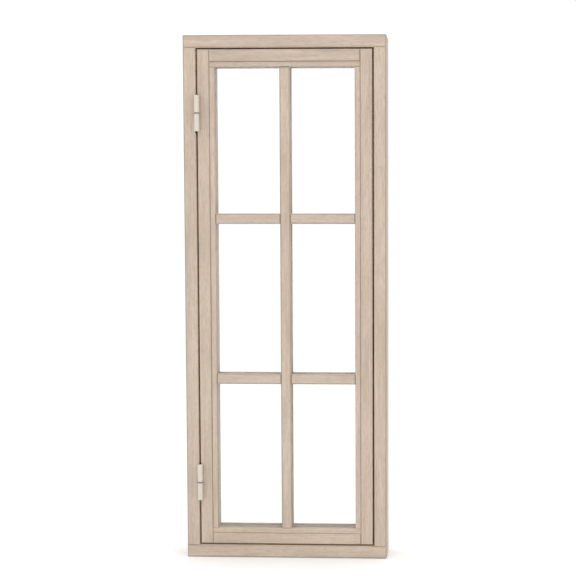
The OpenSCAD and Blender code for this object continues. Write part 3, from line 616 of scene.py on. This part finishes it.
def eased(node, radius, weigh=None, shortest=0.0, clamp=True, sharp=30.0):
    """A copy of a CAD node with rounded edges; weigh(edge) gives each edge's share of the radius."""
    mesh = clean_copy(node)
    weight = mesh.edges.layers.float.new("bevel_weight_edge")
    for edge in mesh.edges:
        angle = edge.calc_face_angle(0.0)
        edge.smooth = angle < math.radians(sharp)
        if angle > math.radians(sharp) and edge.is_convex and edge.calc_length() > shortest:
            edge[weight] = weigh(edge) if weigh else 1.0
            edge.smooth = edge[weight] > 0
    for face in mesh.faces:
        face.smooth = True
    obj = new_piece(f"{node}_finished", mesh)
    obj.data.materials.append(None)
    obj.data.materials.append(None)
    bevel = obj.modifiers.new("ease", "BEVEL")
    bevel.limit_method = "WEIGHT"
    bevel.width = radius
    bevel.segments = 3
    bevel.material = 1
    bevel.use_clamp_overlap = clamp
    bevel.miter_outer = "MITER_ARC" if not clamp else "MITER_SHARP"
    even = obj.modifiers.new("even", "WEIGHTED_NORMAL")
    even.keep_sharp = True
    even.weight = 100
    apply_modifiers(obj)
    mask = obj.data.attributes.new("arris", "FLOAT", "FACE")
    mask.data.foreach_set("value", [float(p.material_index == 1) for p in obj.data.polygons])
    obj.data.polygons.foreach_set("material_index", [0] * len(obj.data.polygons))
    obj.data.materials.clear()
    return obj


def board_seed(node):
    """Two steady numbers from 0 to 1 that set one board's place in its tree."""
    total = sum((i + 1) * ord(c) for i, c in enumerate(node))
    return (total * 0.618034) % 1.0, (total * 0.414214) % 1.0


def lay_grain(obj, node, along):
    """Writes the board's grain coordinates: along the fibres first, then across from the tree's pith."""
    low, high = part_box(node)
    middle = (low + high) / 2
    first, second = board_seed(node)
    pith = Vector((0.4 + 3.0 * first, 0.045 + 0.05 * second, 0.035 + 0.06 * first))
    lean = Matrix.Rotation(math.radians(1.6 * (second - 0.5)), 3, "Z")
    values = []
    for vertex in obj.data.vertices:
        x, y, z = vertex.co - middle
        place = {"X": (x, y, z), "Y": (y, x, z), "Z": (z, y, x)}[along]
        values.extend(lean @ Vector(place) + pith)
    obj.data.attributes.new("grain", "FLOAT_VECTOR", "POINT").data.foreach_set("vector", values)
    shade = (0.975 + 0.05 * first) * BOARD_TONES.get(node, 1.0)
    # The board's own tone; painted light inside the gap is added to it later
    tone = obj.data.attributes.new("tone_and_gap_light", "FLOAT", "FACE")
    tone.data.foreach_set("value", [shade] * len(obj.data.polygons))


def flatten_faces(obj, area=2e-5):
    """Gives every large planed face its own plain normal at all its corners."""
    normals = [Vector(corner.vector) for corner in obj.data.corner_normals]
    for face in obj.data.polygons:
        if face.area > area:
            for corner in face.loop_indices:
                normals[corner] = face.normal.copy()
    obj.data.normals_split_custom_set(normals)


def lighten_gap(obj, share=0.25, near=0.006, gap_light=1.35):
    """Keeps the painted shade on the edges round the gap lighter than at the joints, and paints light on
    the faces inside the gap.
    """
    low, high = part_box("sash_stile_hinge")[0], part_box("sash_stile_lock")[1]
    edges, tones = (obj.data.attributes[name].data for name in ("arris", "tone_and_gap_light"))
    for face, edge, tone in zip(obj.data.polygons, edges, tones):
        x, y, z = face.center
        off_outline = min(abs(abs(x) - high.x), abs(z - low.z), abs(z - high.z))
        if off_outline > near or y > high.y + near:
            continue
        if edge.value and y < low.y + near:
            edge.value = share
        if abs(face.normal.y) < 0.5:
            # Painted light: the faces inside the gap are lightened
            tone.value *= gap_light


def lighten_sight_edges(obj, share, near=0.002, grey_and_shade=0.5):
    """Keeps a bead's edges along the glass lighter than the joints, and lays painted shade on all of a
    muntin's edges.
    """
    sight_x = -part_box("bead_hinge_side")[1].x
    bottom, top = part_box("bead_bottom")[1].z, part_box("bead_top")[0].z
    arris_shade = []
    is_muntin, is_upright = "muntin" in obj.name, "side" in obj.name or "vertical" in obj.name
    for face, edge in zip(obj.data.polygons, obj.data.attributes["arris"].data):
        x, _, z = face.center
        at_level = min(abs(z - bottom), abs(z - top)) < near
        at_end = at_level and (is_upright or abs(x) > sight_x)
        at_glass = abs(abs(x) - sight_x) < near or at_level
        # Painted shade on a muntin's edges, save at its ends
        arris_shade.append(grey_and_shade * edge.value if is_muntin and not at_end else 0.0)
        if (is_muntin or at_glass) and not at_end:
            edge.value *= share
    obj.data.attributes.new("arris_shade", "FLOAT", "FACE").data.foreach_set("value", arris_shade)


def mark_arris_shade(obj, depth=0.006, side=0.35, lit_side=0.3):
    """Writes how much painted shade each face of a frame board takes: outer edges most, the lock side,
    where the light falls, least.
    """
    values = []
    for face, edge in zip(obj.data.polygons, obj.data.attributes["arris"].data):
        near = max(abs(face.center.x) - cad_high.x, face.center.z - cad_high.z, -face.center.z) > -depth
        shaded = 0.0
        if near:
            shaded = 1.0 if edge.value else side if abs(face.normal.y) < 0.5 else 0.0
        # Less painted shade on the lock side, where the light falls
        if face.center.x > cad_high.x - depth:
            shaded *= lit_side
        values.append(shaded)
    obj.data.attributes.new("arris_shade", "FLOAT", "FACE").data.foreach_set("value", values)


def dress_board(node, along, weigh=None, radius=None, shortest=0.006):
    """Finishes one board: eased edges, plane faces, its own grain, and the painted light and shade round
    the gap.
    """
    look = bpy.context.scene.casement_timber
    obj = eased(node, radius or look.arris, weigh, shortest, clamp=False)
    flatten_faces(obj)
    lay_grain(obj, node, along)
    lighten_gap(obj)
    return finish_piece(obj, node)


def loose_bits(node):
    """The boxes and vertices of a CAD node's separate solids."""
    mesh = clean_copy(node)
    left, bits = set(mesh.verts), []
    while left:
        stack, bit = [left.pop()], []
        while stack:
            vert = stack.pop()
            bit.append(vert.co.copy())
            for edge in vert.link_edges:
                other = edge.other_vert(vert)
                if other in left:
                    left.remove(other)
                    stack.append(other)
        bits.append(bit)
    mesh.free()
    return bits


def fastener_points(node):
    """One point at each fastener's head, with the way that it points and its sizes in metres."""
    found = []
    for bit in loose_bits(node):
        low = Vector([min(v[i] for v in bit) for i in range(3)])
        high = Vector([max(v[i] for v in bit) for i in range(3)])
        size = high - low
        axis = max(range(3), key=lambda i: size[i])
        others = [i for i in range(3) if i != axis]

        def reach(end, depth=1e-5):
            near = [v for v in bit if abs(v[axis] - end[axis]) < depth]
            return max(abs(v[others[0]] - (low + high)[others[0]] / 2) for v in near)

        at_low, at_high = reach(low), reach(high)
        head_low = at_low >= at_high
        head = (low + high) / 2
        head[axis] = low[axis] if head_low else high[axis]
        aim = Vector((0.0, 0.0, 0.0))
        aim[axis] = 1.0 if head_low else -1.0
        found.append((head, aim, max(at_low, at_high), min(at_low, at_high), size[axis]))
    return sorted(found, key=lambda f: tuple(round(c, 4) for c in f[0]))


def unit_grid(w, rings, sides):
    """A flat grid to wrap into a shape, with each point's share along it and its angle round it."""
    grid = w.add("GeometryNodeMeshGrid", {
        "Size X": 1.0, "Size Y": 1.0, "Vertices X": rings, "Vertices Y": sides})
    place = w.split(w.add("GeometryNodeInputPosition").outputs[0])
    return grid.outputs["Mesh"], w.plus(place[0], 0.5), w.times(w.plus(place[1], 0.5), math.tau)


def wrap_grid(w, grid, x, y, z):
    """The grid with its points moved to their places, and its seam and ends closed."""
    spot = w.add("ShaderNodeCombineXYZ", {0: x, 1: y, 2: z})
    shaped = w.add("GeometryNodeSetPosition", {"Geometry": grid, "Position": spot.outputs[0]})
    closed = w.add("GeometryNodeMergeByDistance", {"Geometry": shaped.outputs[0], "Distance": 2e-6})
    return closed.outputs[0]


def end_tree(w, given, out, geometry):
    """Ends a tree: its instances made real and its material set."""
    real = w.add("GeometryNodeRealizeInstances", {"Geometry": geometry})
    painted = w.add("GeometryNodeSetMaterial", {"Geometry": real.outputs[0], "Material": given["Material"]})
    w.put(out["Geometry"], painted.outputs[0])


def spread_tree(name, extra, profile):
    """A tree that sets one turned shape on every point, turned to the point's aim."""
    tree, w, given, out = new_group(name, "GeometryNodeTree", {
        "Geometry": (GEOMETRY, None), "Head Radius": (VALUE, 0.003), "Shank Radius": (VALUE, 0.0015),
        "Length": (VALUE, 0.02), "Rings": (WHOLE, 60), **extra, "Material": (MATERIAL, None),
    }, {"Geometry": (GEOMETRY, None)})
    grid, along, angle = unit_grid(w, given["Rings"], 25)
    radius, depth = profile(w, given, along, angle)
    across, up = (w.times(radius, w.math(wave, angle)) for wave in ("COSINE", "SINE"))
    shape = w.add("GeometryNodeSetShadeSmooth", {"Geometry": wrap_grid(w, grid, across, up, depth)})
    aim = w.add("GeometryNodeInputNamedAttribute", {"Name": "aim"}, data_type="FLOAT_VECTOR").outputs[0]
    turn = w.add("FunctionNodeAlignRotationToVector", {"Vector": aim}, axis="Z").outputs[0]
    many = w.add("GeometryNodeInstanceOnPoints", {
        "Points": given["Geometry"], "Instance": shape.outputs[0], "Rotation": turn})
    end_tree(w, given, out, many.outputs[0])
    return tree


def screw_profile(w, given, along, angle):
    """Head with a cross recess, cone or cylinder below it, threaded shank and point."""
    head, shank, head_depth = given["Head Radius"], given["Shank Radius"], given["Head Depth"]
    face_end, cone_end, thread_start, tip_start = 0.14, 0.18, 0.21, 0.95
    face, cone = w.span(along, 0.0, face_end), w.span(along, face_end, cone_end)
    shaft, point = w.span(along, cone_end, 1.0), w.span(along, tip_start, 1.0, 1.0, 0.0)
    under = w.times(shank, cone, point)
    radius = w.plus(w.times(head, face, w.minus(1.0, cone)), under)
    depth = w.plus(w.times(head_depth, cone), w.times(w.minus(given["Length"], head_depth), shaft))
    phase = w.minus(w.times(w.math("DIVIDE", depth, given["Pitch"]), math.tau), angle)
    wave = w.math("MULTIPLY_ADD", w.math("SINE", phase), 0.5, 0.5)
    cut = w.times(wave, w.span(along, cone_end, thread_start), w.times(under, 0.26))
    radius = w.minus(radius, cut)
    east = w.math("ABSOLUTE", w.times(radius, w.math("COSINE", angle)))
    north = w.math("ABSOLUTE", w.times(radius, w.math("SINE", angle)))
    in_arm = w.math("LESS_THAN", w.math("MINIMUM", east, north), w.times(head, 0.17))
    in_reach = w.math("LESS_THAN", w.math("MAXIMUM", east, north), w.times(head, 0.62))
    deep = w.times(w.times(in_arm, in_reach), w.times(head, 0.45))
    on_face = w.math("LESS_THAN", along, face_end)
    return radius, w.plus(depth, w.times(deep, on_face))


def peg_profile(w, given, along, angle):
    """A peg with chamfered ends, and flutes of the given depth."""
    radius, flutes = given["Head Radius"], 12.0
    chamfer = w.times(radius, 0.18)
    start, end = w.span(along, 0.0, 0.08), w.span(along, 0.92, 1.0, 1.0, 0.0)
    lip, heel = w.span(along, 0.08, 0.14), w.span(along, 0.86, 0.92, 1.0, 0.0)
    narrow = w.minus(2.0, w.plus(lip, heel))
    full = w.minus(radius, w.times(chamfer, narrow))
    wave = w.math("MULTIPLY_ADD", w.math("COSINE", w.times(angle, flutes)), 0.5, 0.5)
    full = w.minus(full, w.times(w.times(wave, given["Flute Depth"]), w.times(lip, heel)))
    body = w.times(w.span(along, 0.14, 0.86), w.minus(given["Length"], w.times(chamfer, 2.0)))
    ends = w.times(w.plus(lip, w.span(along, 0.86, 0.92)), chamfer)
    return w.times(full, w.times(start, end)), w.plus(body, ends)


def set_input(modifier, tree, label, value):
    """Sets one named input of a Geometry Nodes modifier."""
    socket = next(s for s in tree.interface.items_tree if s.item_type == "SOCKET" and s.in_out == "INPUT"
                  and s.name == label)
    modifier[socket.identifier] = value


def spread(node, tree, **values):
    """Runs a fastener tree over one CAD node's fasteners and makes the result a plain piece."""
    found = fastener_points(node)
    mesh = bpy.data.meshes.new(f"{node}_finished")
    mesh.from_pydata([f[0] for f in found], [], [])
    aim = mesh.attributes.new("aim", "FLOAT_VECTOR", "POINT")
    aim.data.foreach_set("vector", [c for f in found for c in f[1]])
    obj = new_piece(f"{node}_finished", mesh)
    modifier = obj.modifiers.new("spread", "NODES")
    modifier.node_group = tree
    sizes = {"Head Radius": found[0][2], "Shank Radius": found[0][3], "Length": found[0][4],
             "Material": material_for(SLOT_OF[node])}
    for label, value in {**sizes, **values}.items():
        set_input(modifier, tree, label, value)
    apply_modifiers(obj)
    return finish_piece(obj, node)


# Operators

def inside_outline(ends, margin=0.02):
    """Whether an edge of the frame lies within its outline, where it faces the sash."""
    return all(abs(p.x) < cad_high.x - margin and margin < p.z < cad_high.z - margin for p in ends)


def lie_at(ends, axis, *places):
    """Whether both ends of an edge lie at one of the places along an axis."""
    return any(all(abs(getattr(p, axis) - place) < TOUCHING for p in ends) for place in places)


def dress_fittings(*nodes):
    """Finishes pieces that keep the solid's own shape, with their edges broken."""
    for node in nodes:
        finish_piece(eased(node, bpy.context.scene.casement_hardware.edge), node)


class FrameBoards(bpy.types.Operator):
    """Planed head, sill and jambs, with rounder outer edges"""
    bl_idname = "casement.frame_boards"
    bl_label = "Frame boards"

    def execute(self, context):
        look = context.scene.casement_timber
        widest = max(look.frame_arris, look.eased_corner)
        side, top = cad_high.x, cad_high.z

        def weigh(edge):
            ends = [v.co for v in edge.verts]
            at_top_or_foot = lie_at(ends, "z", 0.0, top)
            if at_top_or_foot and lie_at(ends, "x", side):
                return look.eased_corner / widest
            on_front = lie_at(ends, "y", FRONT)
            at_sides = all(abs(abs(p.x) - side) < TOUCHING for p in ends)
            if on_front and (at_top_or_foot or at_sides):
                return look.frame_arris / widest
            at_gap = on_front and inside_outline(ends)
            return (look.gap_arris if at_gap else look.arris) / widest

        for node, along in FRAME_BOARDS.items():
            mark_arris_shade(dress_board(node, along, weigh, widest))
        return {"FINISHED"}


class SashBoards(bpy.types.Operator):
    """Stiles and rails of the sash, with eased joints"""
    bl_idname = "casement.sash_boards"
    bl_label = "Sash boards"

    def execute(self, context):
        look = context.scene.casement_timber
        low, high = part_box("sash_stile_hinge")[0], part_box("sash_stile_lock")[1]
        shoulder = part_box("bead_lock_side")[1].x

        def weigh(edge):
            ends = [v.co for v in edge.verts]
            on_outline = lie_at(ends, "z", low.z, high.z) or lie_at(ends, "x", low.x, high.x)
            return 1.0 if on_outline and lie_at(ends, "y", low.y) else look.arris / look.gap_arris

        def weigh_rail(edge):
            ends = [v.co for v in edge.verts]
            if lie_at(ends, "y", low.y) and lie_at(ends, "x", shoulder):
                return look.shoulder_arris / look.gap_arris
            return weigh(edge)

        for node, along in SASH_BOARDS.items():
            dress_board(node, along, weigh_rail if "rail" in node else weigh, look.gap_arris)
        return {"FINISHED"}


class BeadsAndMuntins(bpy.types.Operator):
    """Glazing beads and muntins, outdoors and on the room side"""
    bl_idname = "casement.beads"
    bl_label = "Beads and muntins"

    def execute(self, context):
        look = context.scene.casement_timber
        for node, along in BEADS.items():
            radius = look.muntin_arris if node.startswith("muntin") else look.arris * 0.8
            lighten_sight_edges(dress_board(node, along, radius=radius), look.sight_edge)
        return {"FINISHED"}


class SealedGlazing(bpy.types.Operator):
    """Panes, spacer, sealant, tapes, blocks and the bars between the panes"""
    bl_idname = "casement.glazing"
    bl_label = "Sealed glazing"

    def execute(self, context):
        dress_fittings("glass_outer", "glass_inner", "glass_spacer", "cavity_bars", "setting_blocks",
                       "glass_sealant", "tape_outer", "tape_inner")
        return {"FINISHED"}


def strip_tree():
    """A ring swept round a rectangle with rounded corners: lips on the stop, then a pinched bulb."""
    tree, w, given, out = new_group("weatherstrip", "GeometryNodeTree", {
        "Geometry": (GEOMETRY, None), "Ring Width": (VALUE, 0.4), "Ring Height": (VALUE, 1.2),
        "Corner Radius": (VALUE, 0.0035), "Strip Width": (VALUE, 0.006), "Strip Depth": (VALUE, 0.0028),
        "Bulb Pinch": (VALUE, 0.3), "Stem Width": (VALUE, 0.0029), "Stem Depth": (VALUE, 0.0045),
        "Material": (MATERIAL, None),
    }, {"Geometry": (GEOMETRY, None)})
    ring = w.add("GeometryNodeCurvePrimitiveQuadrilateral", {
        "Width": given["Ring Width"], "Height": given["Ring Height"]})
    turned = w.add("GeometryNodeFilletCurve", {
        "Curve": ring.outputs[0], "Radius": given["Corner Radius"], "Count": 8}, mode="POLY")
    upright = w.add("GeometryNodeSetCurveNormal", {"Curve": turned.outputs[0]}, mode="Z_UP")
    circle = w.add("GeometryNodeCurvePrimitiveCircle", {"Resolution": 40, "Radius": 1.0})
    place = w.split(w.add("GeometryNodeInputPosition").outputs[0])
    rise = w.math("MULTIPLY_ADD", place[1], 0.5, 0.5)
    pinch = w.times(given["Bulb Pinch"], w.times(w.span(rise, 0.2, 0.4), w.span(rise, 0.75, 0.4)))
    waist = w.minus(w.span(rise, 0.08, 0.42, 1.0, 0.62), pinch)
    spot = w.add("ShaderNodeCombineXYZ", {
        0: w.times(place[0], waist, w.times(given["Strip Width"], 0.5)),
        1: w.times(rise, given["Strip Depth"])})
    profile = w.add("GeometryNodeSetPosition", {"Geometry": circle.outputs[0], "Position": spot.outputs[0]})
    swept = w.add("GeometryNodeCurveToMesh", {
        "Curve": upright.outputs[0], "Profile Curve": profile.outputs[0]})
    rounded = w.add("GeometryNodeSetShadeSmooth", {"Geometry": swept.outputs[0]})
    stem = w.add("GeometryNodeCurvePrimitiveQuadrilateral", {
        "Width": given["Stem Width"], "Height": given["Stem Depth"]})
    below = w.add("ShaderNodeCombineXYZ", {1: w.times(given["Stem Depth"], -0.5)})
    sunk = w.add("GeometryNodeTransform", {"Geometry": stem.outputs[0], "Translation": below.outputs[0]})
    square = w.add("GeometryNodeCurveToMesh", {
        "Curve": upright.outputs[0], "Profile Curve": sunk.outputs[0]})
    whole = w.add("GeometryNodeJoinGeometry")
    w.put(whole.inputs[0], rounded.outputs[0])
    w.put(whole.inputs[0], square.outputs[0])
    end_tree(w, given, out, whole.outputs[0])
    return tree


def grow_piece(name, slot, tree, **values):
    """Runs a tree that needs no points and gives the plain mesh that it makes."""
    obj = new_piece(name, bpy.data.meshes.new(name))
    modifier = obj.modifiers.new("grow", "NODES")
    modifier.node_group = tree
    for label, value in {"Material": material_for(slot), **values}.items():
        set_input(modifier, tree, label, value)
    return apply_modifiers(obj)


def face_outward(obj):
    """Turns a closed mesh's faces outward."""
    mesh = bmesh.new()
    mesh.from_mesh(obj.data)
    bmesh.ops.recalc_face_normals(mesh, faces=mesh.faces)
    mesh.to_mesh(obj.data)
    mesh.free()


class Weatherstrip(bpy.types.Operator):
    """One strip that runs round the frame's stop"""
    bl_idname = "casement.weatherstrip"
    bl_label = "Weatherstrip"

    def execute(self, context):
        look = context.scene.casement_glazing
        low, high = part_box("frame_weatherstrip")
        wide, tall, stem = 6.0 * MM, 2.796 * MM, 2.9 * MM
        obj = grow_piece("frame_weatherstrip_finished", "seal", strip_tree(), **{
            "Ring Width": high.x - low.x - wide, "Ring Height": high.z - low.z - wide,
            "Corner Radius": look.strip_corner, "Strip Width": wide, "Strip Depth": tall,
            "Bulb Pinch": look.bulb_pinch, "Stem Width": stem, "Stem Depth": high.y - low.y - tall})
        middle = (low + high) / 2
        for vertex in obj.data.vertices:
            x, z, rise = vertex.co
            vertex.co = (middle.x + x, low.y + tall - rise, middle.z + z)
        face_outward(obj)
        finish_piece(obj, "frame_weatherstrip")
        return {"FINISHED"}


class Hinges(bpy.types.Operator):
    """Leaves with their knuckles, washers and pins"""
    bl_idname = "casement.hinges"
    bl_label = "Hinges"

    def execute(self, context):
        dress_fittings("hinge_frame_leaf_upper", "hinge_frame_leaf_lower", "hinge_sash_leaf_upper",
                       "hinge_sash_leaf_lower", "hinge_washers", "hinge_pins")
        return {"FINISHED"}


class Fasteners(bpy.types.Operator):
    """Screws, dowels and bead pins"""
    bl_idname = "casement.fasteners"
    bl_label = "Fasteners"

    def execute(self, context):
        metal = context.scene.casement_hardware
        thread = {"Pitch": (VALUE, 0.001), "Head Depth": (VALUE, 0.002)}
        screws = spread_tree("screws", thread, screw_profile)
        pegs = spread_tree("pegs", {"Flute Depth": (VALUE, 0.0)}, peg_profile)
        for node in ("frame_corner_screws", "hinge_frame_screws", "hinge_sash_screws", "keep_screws",
                     "latch_case_screws", "rod_guide_screws"):
            wide, thin, length = fastener_points(node)[0][2:]
            pitch = 2 * thin * metal.thread_pitch
            rings = int(30 + 6 * (length / pitch))
            spread(node, screws, **{"Pitch": pitch, "Head Depth": wide - thin, "Rings": rings})
        peg_rings, flute_depth = 51, 0.25 * MM
        dowels = spread("sash_dowels", pegs, **{"Flute Depth": flute_depth, "Rings": peg_rings})
        lay_grain(dowels, "sash_dowels", "Y")
        spread("bead_pins", pegs, **{"Rings": peg_rings})
        return {"FINISHED"}


def lever_tree():
    """A lever arm lofted from its root to its tip: rounded sections, a slim neck and a rounded end."""
    tree, w, given, out = new_group("lever_arm", "GeometryNodeTree", {
        "Geometry": (GEOMETRY, None), "Length": (VALUE, 0.112), "Root Width": (VALUE, 0.016),
        "Tip Width": (VALUE, 0.014), "Thickness": (VALUE, 0.007), "Neck": (VALUE, 0.25),
        "Roundness": (VALUE, 0.55), "Material": (MATERIAL, None),
    }, {"Geometry": (GEOMETRY, None)})
    grid, along, angle = unit_grid(w, 90, 49)
    root_share = 0.02
    tip_share = w.math("DIVIDE", w.times(given["Tip Width"], 0.5), given["Length"])
    half = w.times(0.5, w.span(along, 0.0, 1.0, given["Root Width"], given["Tip Width"]))
    dip = w.times(w.span(along, 0.08, 0.28), w.span(along, 0.62, 0.28))
    slim = w.minus(1.0, w.times(given["Neck"], dip))

    def quarter_round(past):
        past = w.math("MAXIMUM", 0.0, past)
        return w.math("SQRT", w.math("MAXIMUM", 0.0, w.minus(1.0, w.times(past, past))))

    closing = quarter_round(w.math("DIVIDE", w.minus(along, w.minus(1.0, tip_share)), tip_share))
    opening = quarter_round(w.minus(1.0, w.math("DIVIDE", along, root_share)))
    ends = w.times(closing, opening)

    def rounded(wave, reach):
        bulge = w.math("POWER", w.math("ABSOLUTE", wave), given["Roundness"])
        return w.times(w.math("SIGN", wave), bulge, reach)

    shape = wrap_grid(
        w, grid,
        rounded(w.math("COSINE", angle), w.times(half, slim, ends)),
        rounded(w.math("SINE", angle), w.times(given["Thickness"], 0.5, w.math("POWER", ends, 0.5))),
        w.times(along, given["Length"]))
    end_tree(w, given, out, shape)
    return tree


def turned_hub(centre, radius, near, far, chamfer):
    """A round hub about the Y axis with a chamfered outer rim."""
    mesh = bmesh.new()
    steps = 64
    rings = ((near, radius), (far - chamfer, radius), (far - 0.3 * chamfer, radius - 0.3 * chamfer),
             (far, radius - chamfer))
    loops = []
    for y, reach in rings:
        turn = [math.tau * i / steps for i in range(steps)]
        loops.append([mesh.verts.new((centre.x + reach * math.cos(t), y, centre.z + reach * math.sin(t)))
                      for t in turn])
    for lower, upper in zip(loops, loops[1:]):
        for i in range(steps):
            j = (i + 1) % steps
            mesh.faces.new((lower[i], lower[j], upper[j], upper[i]))
    mesh.faces.new(loops[0])
    mesh.faces.new(loops[-1])
    bmesh.ops.recalc_face_normals(mesh, faces=mesh.faces)
    return new_piece("handle_lever_finished", mesh)


def plain_box(name, low, high):
    mesh = bmesh.new()
    bmesh.ops.create_cube(mesh, size=1.0)
    size, middle = high - low, (low + high) / 2
    for vertex in mesh.verts:
        vertex.co = Vector([vertex.co[i] * size[i] + middle[i] for i in range(3)])
    return new_piece(name, mesh)


def combine(obj, tool, operation):
    """Joins or cuts a piece with a helper solid, then removes the helper."""
    modifier = obj.modifiers.new("combine", "BOOLEAN")
    modifier.operation = operation
    modifier.object = tool
    modifier.solver = "EXACT"
    apply_modifiers(obj)
    bpy.data.objects.remove(tool)


def soften(obj, angle=32.0):
    """Marks the edges sharper than an angle and evens the normals of the rest."""
    mesh = bmesh.new()
    mesh.from_mesh(obj.data)
    for edge in mesh.edges:
        edge.smooth = edge.calc_face_angle(0.0) < math.radians(angle)
    mesh.to_mesh(obj.data)
    mesh.free()
    even = obj.modifiers.new("even", "WEIGHTED_NORMAL")
    even.keep_sharp = True
    apply_modifiers(obj)


def finish_lever(edge):
    """The lever: a turned hub with a square socket, and the lofted arm grown out of it."""
    low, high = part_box("handle_lever")
    spindle_low, spindle_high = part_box("handle_spindle")
    centre = (spindle_low + spindle_high) / 2
    hub_radius = centre.z - low.z
    root_width, tip_width, thickness, arm_inset = 0.9 * 2 * hub_radius, 14 * MM, 6.9 * MM, 3.5 * MM
    hub = turned_hub(centre, hub_radius, low.y, high.y, 3 * edge)
    arm = grow_piece("lever_arm", SLOT_OF["handle_lever"], lever_tree(), **{
        "Length": high.z - centre.z, "Root Width": root_width, "Tip Width": tip_width,
        "Thickness": thickness, "Neck": 0.22, "Roundness": 0.55})
    for vertex in arm.data.vertices:
        vertex.co += Vector((centre.x, high.y - arm_inset, centre.z))
    face_outward(arm)
    arm.data.materials.clear()
    combine(hub, arm, "UNION")
    play = 0.05 * MM * Vector((1.0, 1.0, 1.0))
    combine(hub, plain_box("socket", spindle_low - play, spindle_high + play), "DIFFERENCE")
    grub_low, grub_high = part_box("handle_screw")
    grub_low.z = low.z - MM
    combine(hub, plain_box("grub_hole", grub_low - play, grub_high + play), "DIFFERENCE")
    for face in hub.data.polygons:
        face.use_smooth = True
    hub.data.materials.clear()
    soften(hub)
    finish_piece(hub, "handle_lever")


class Espagnolette(bpy.types.Operator):
    """Case, backplate, pinion, rods, guides, keeps and the lever"""
    bl_idname = "casement.espagnolette"
    bl_label = "Espagnolette"

    def execute(self, context):
        dress_fittings("latch_backplate", "latch_case", "rod_guides", "drive_pinion", "handle_spindle",
                       "handle_screw", "upper_rod", "lower_rod", "keep_head", "keep_sill")
        finish_lever(context.scene.casement_hardware.edge)
        return {"FINISHED"}


class Stage(bpy.types.Operator):
    """Pale floor, even white light, two softboxes and the camera"""
    bl_idname = "casement.stage"
    bl_label = "Stage"

    def execute(self, context):
        stage = context.scene.casement_stage
        floor = bmesh.new()
        bmesh.ops.create_grid(floor, x_segments=1, y_segments=1, size=12.0)
        floor_obj = new_piece("floor", floor)
        paper, _, shader = new_material("floor_paper", 0.9)
        shader.inputs["Base Color"].default_value = (0.97, 0.97, 0.97, 1.0)
        floor_obj.data.materials.append(paper)

        world = bpy.data.worlds.new("white_room")
        world.use_nodes = True
        back = world.node_tree.nodes["Background"]
        back.inputs["Color"].default_value = (1.0, 1.0, 1.0, 1.0)
        back.inputs["Strength"].default_value = stage.sky
        context.scene.world = world

        for name, place, size, power in (
            ("overhead", (0.0, -0.6, 4.0), 4.0, stage.overhead),
            ("key", (2.6, -3.4, 2.2), 2.0, stage.key),
        ):
            light = bpy.data.lights.new(name, "AREA")
            light.shape = "SQUARE"
            light.size = size
            light.energy = power
            lamp = bpy.data.objects.new(name, light)
            lamp.location = place
            middle = (cad_low + cad_high) / 2
            lamp.rotation_euler = (middle - Vector(place)).to_track_quat("-Z", "Y").to_euler()
            context.scene.collection.objects.link(lamp)

        camera = bpy.data.cameras.new("camera")
        camera.sensor_fit = "HORIZONTAL"
        camera.sensor_width = 36.0
        camera.lens = stage.lens
        camera.shift_x = stage.lens_shift
        camera_obj = bpy.data.objects.new("camera", camera)
        camera_obj.location = stage.camera_place
        camera_obj.rotation_euler = (math.pi / 2 - stage.camera_down, 0.0, stage.camera_left)
        context.scene.collection.objects.link(camera_obj)
        context.scene.camera = camera_obj
        context.scene.view_settings.view_transform = "Standard"
        return {"FINISHED"}


OPERATORS = (FrameBoards, SashBoards, BeadsAndMuntins, SealedGlazing, Weatherstrip, Hinges, Fasteners,
             Espagnolette, Stage)


class CasementPanel(bpy.types.Panel):
    """Lists the window's pieces and the stage"""
    bl_idname = "VIEW3D_PT_casement"
    bl_label = "Casement Window"
    bl_space_type = "VIEW_3D"
    bl_region_type = "UI"
    bl_category = "Casement"

    def draw(self, context):
        for name, group in GROUPS.items():
            box = self.layout.box()
            for prop in group.__annotations__:
                box.prop(getattr(context.scene, name), prop)
        for operator in OPERATORS:
            self.layout.operator(operator.bl_idname)


def register():
    for kind in (*GROUPS.values(), *OPERATORS, CasementPanel):
        bpy.utils.register_class(kind)
    for name, group in GROUPS.items():
        setattr(bpy.types.Scene, name, bpy.props.PointerProperty(type=group))


def unregister():
    for name in GROUPS:
        delattr(bpy.types.Scene, name)
    for kind in reversed((*GROUPS.values(), *OPERATORS, CasementPanel)):
        bpy.utils.unregister_class(kind)


def main():
    register()
    for operator in OPERATORS:
        getattr(bpy.ops.casement, operator.bl_idname.split(".")[1])()


if __name__ == "__main__":
    main()
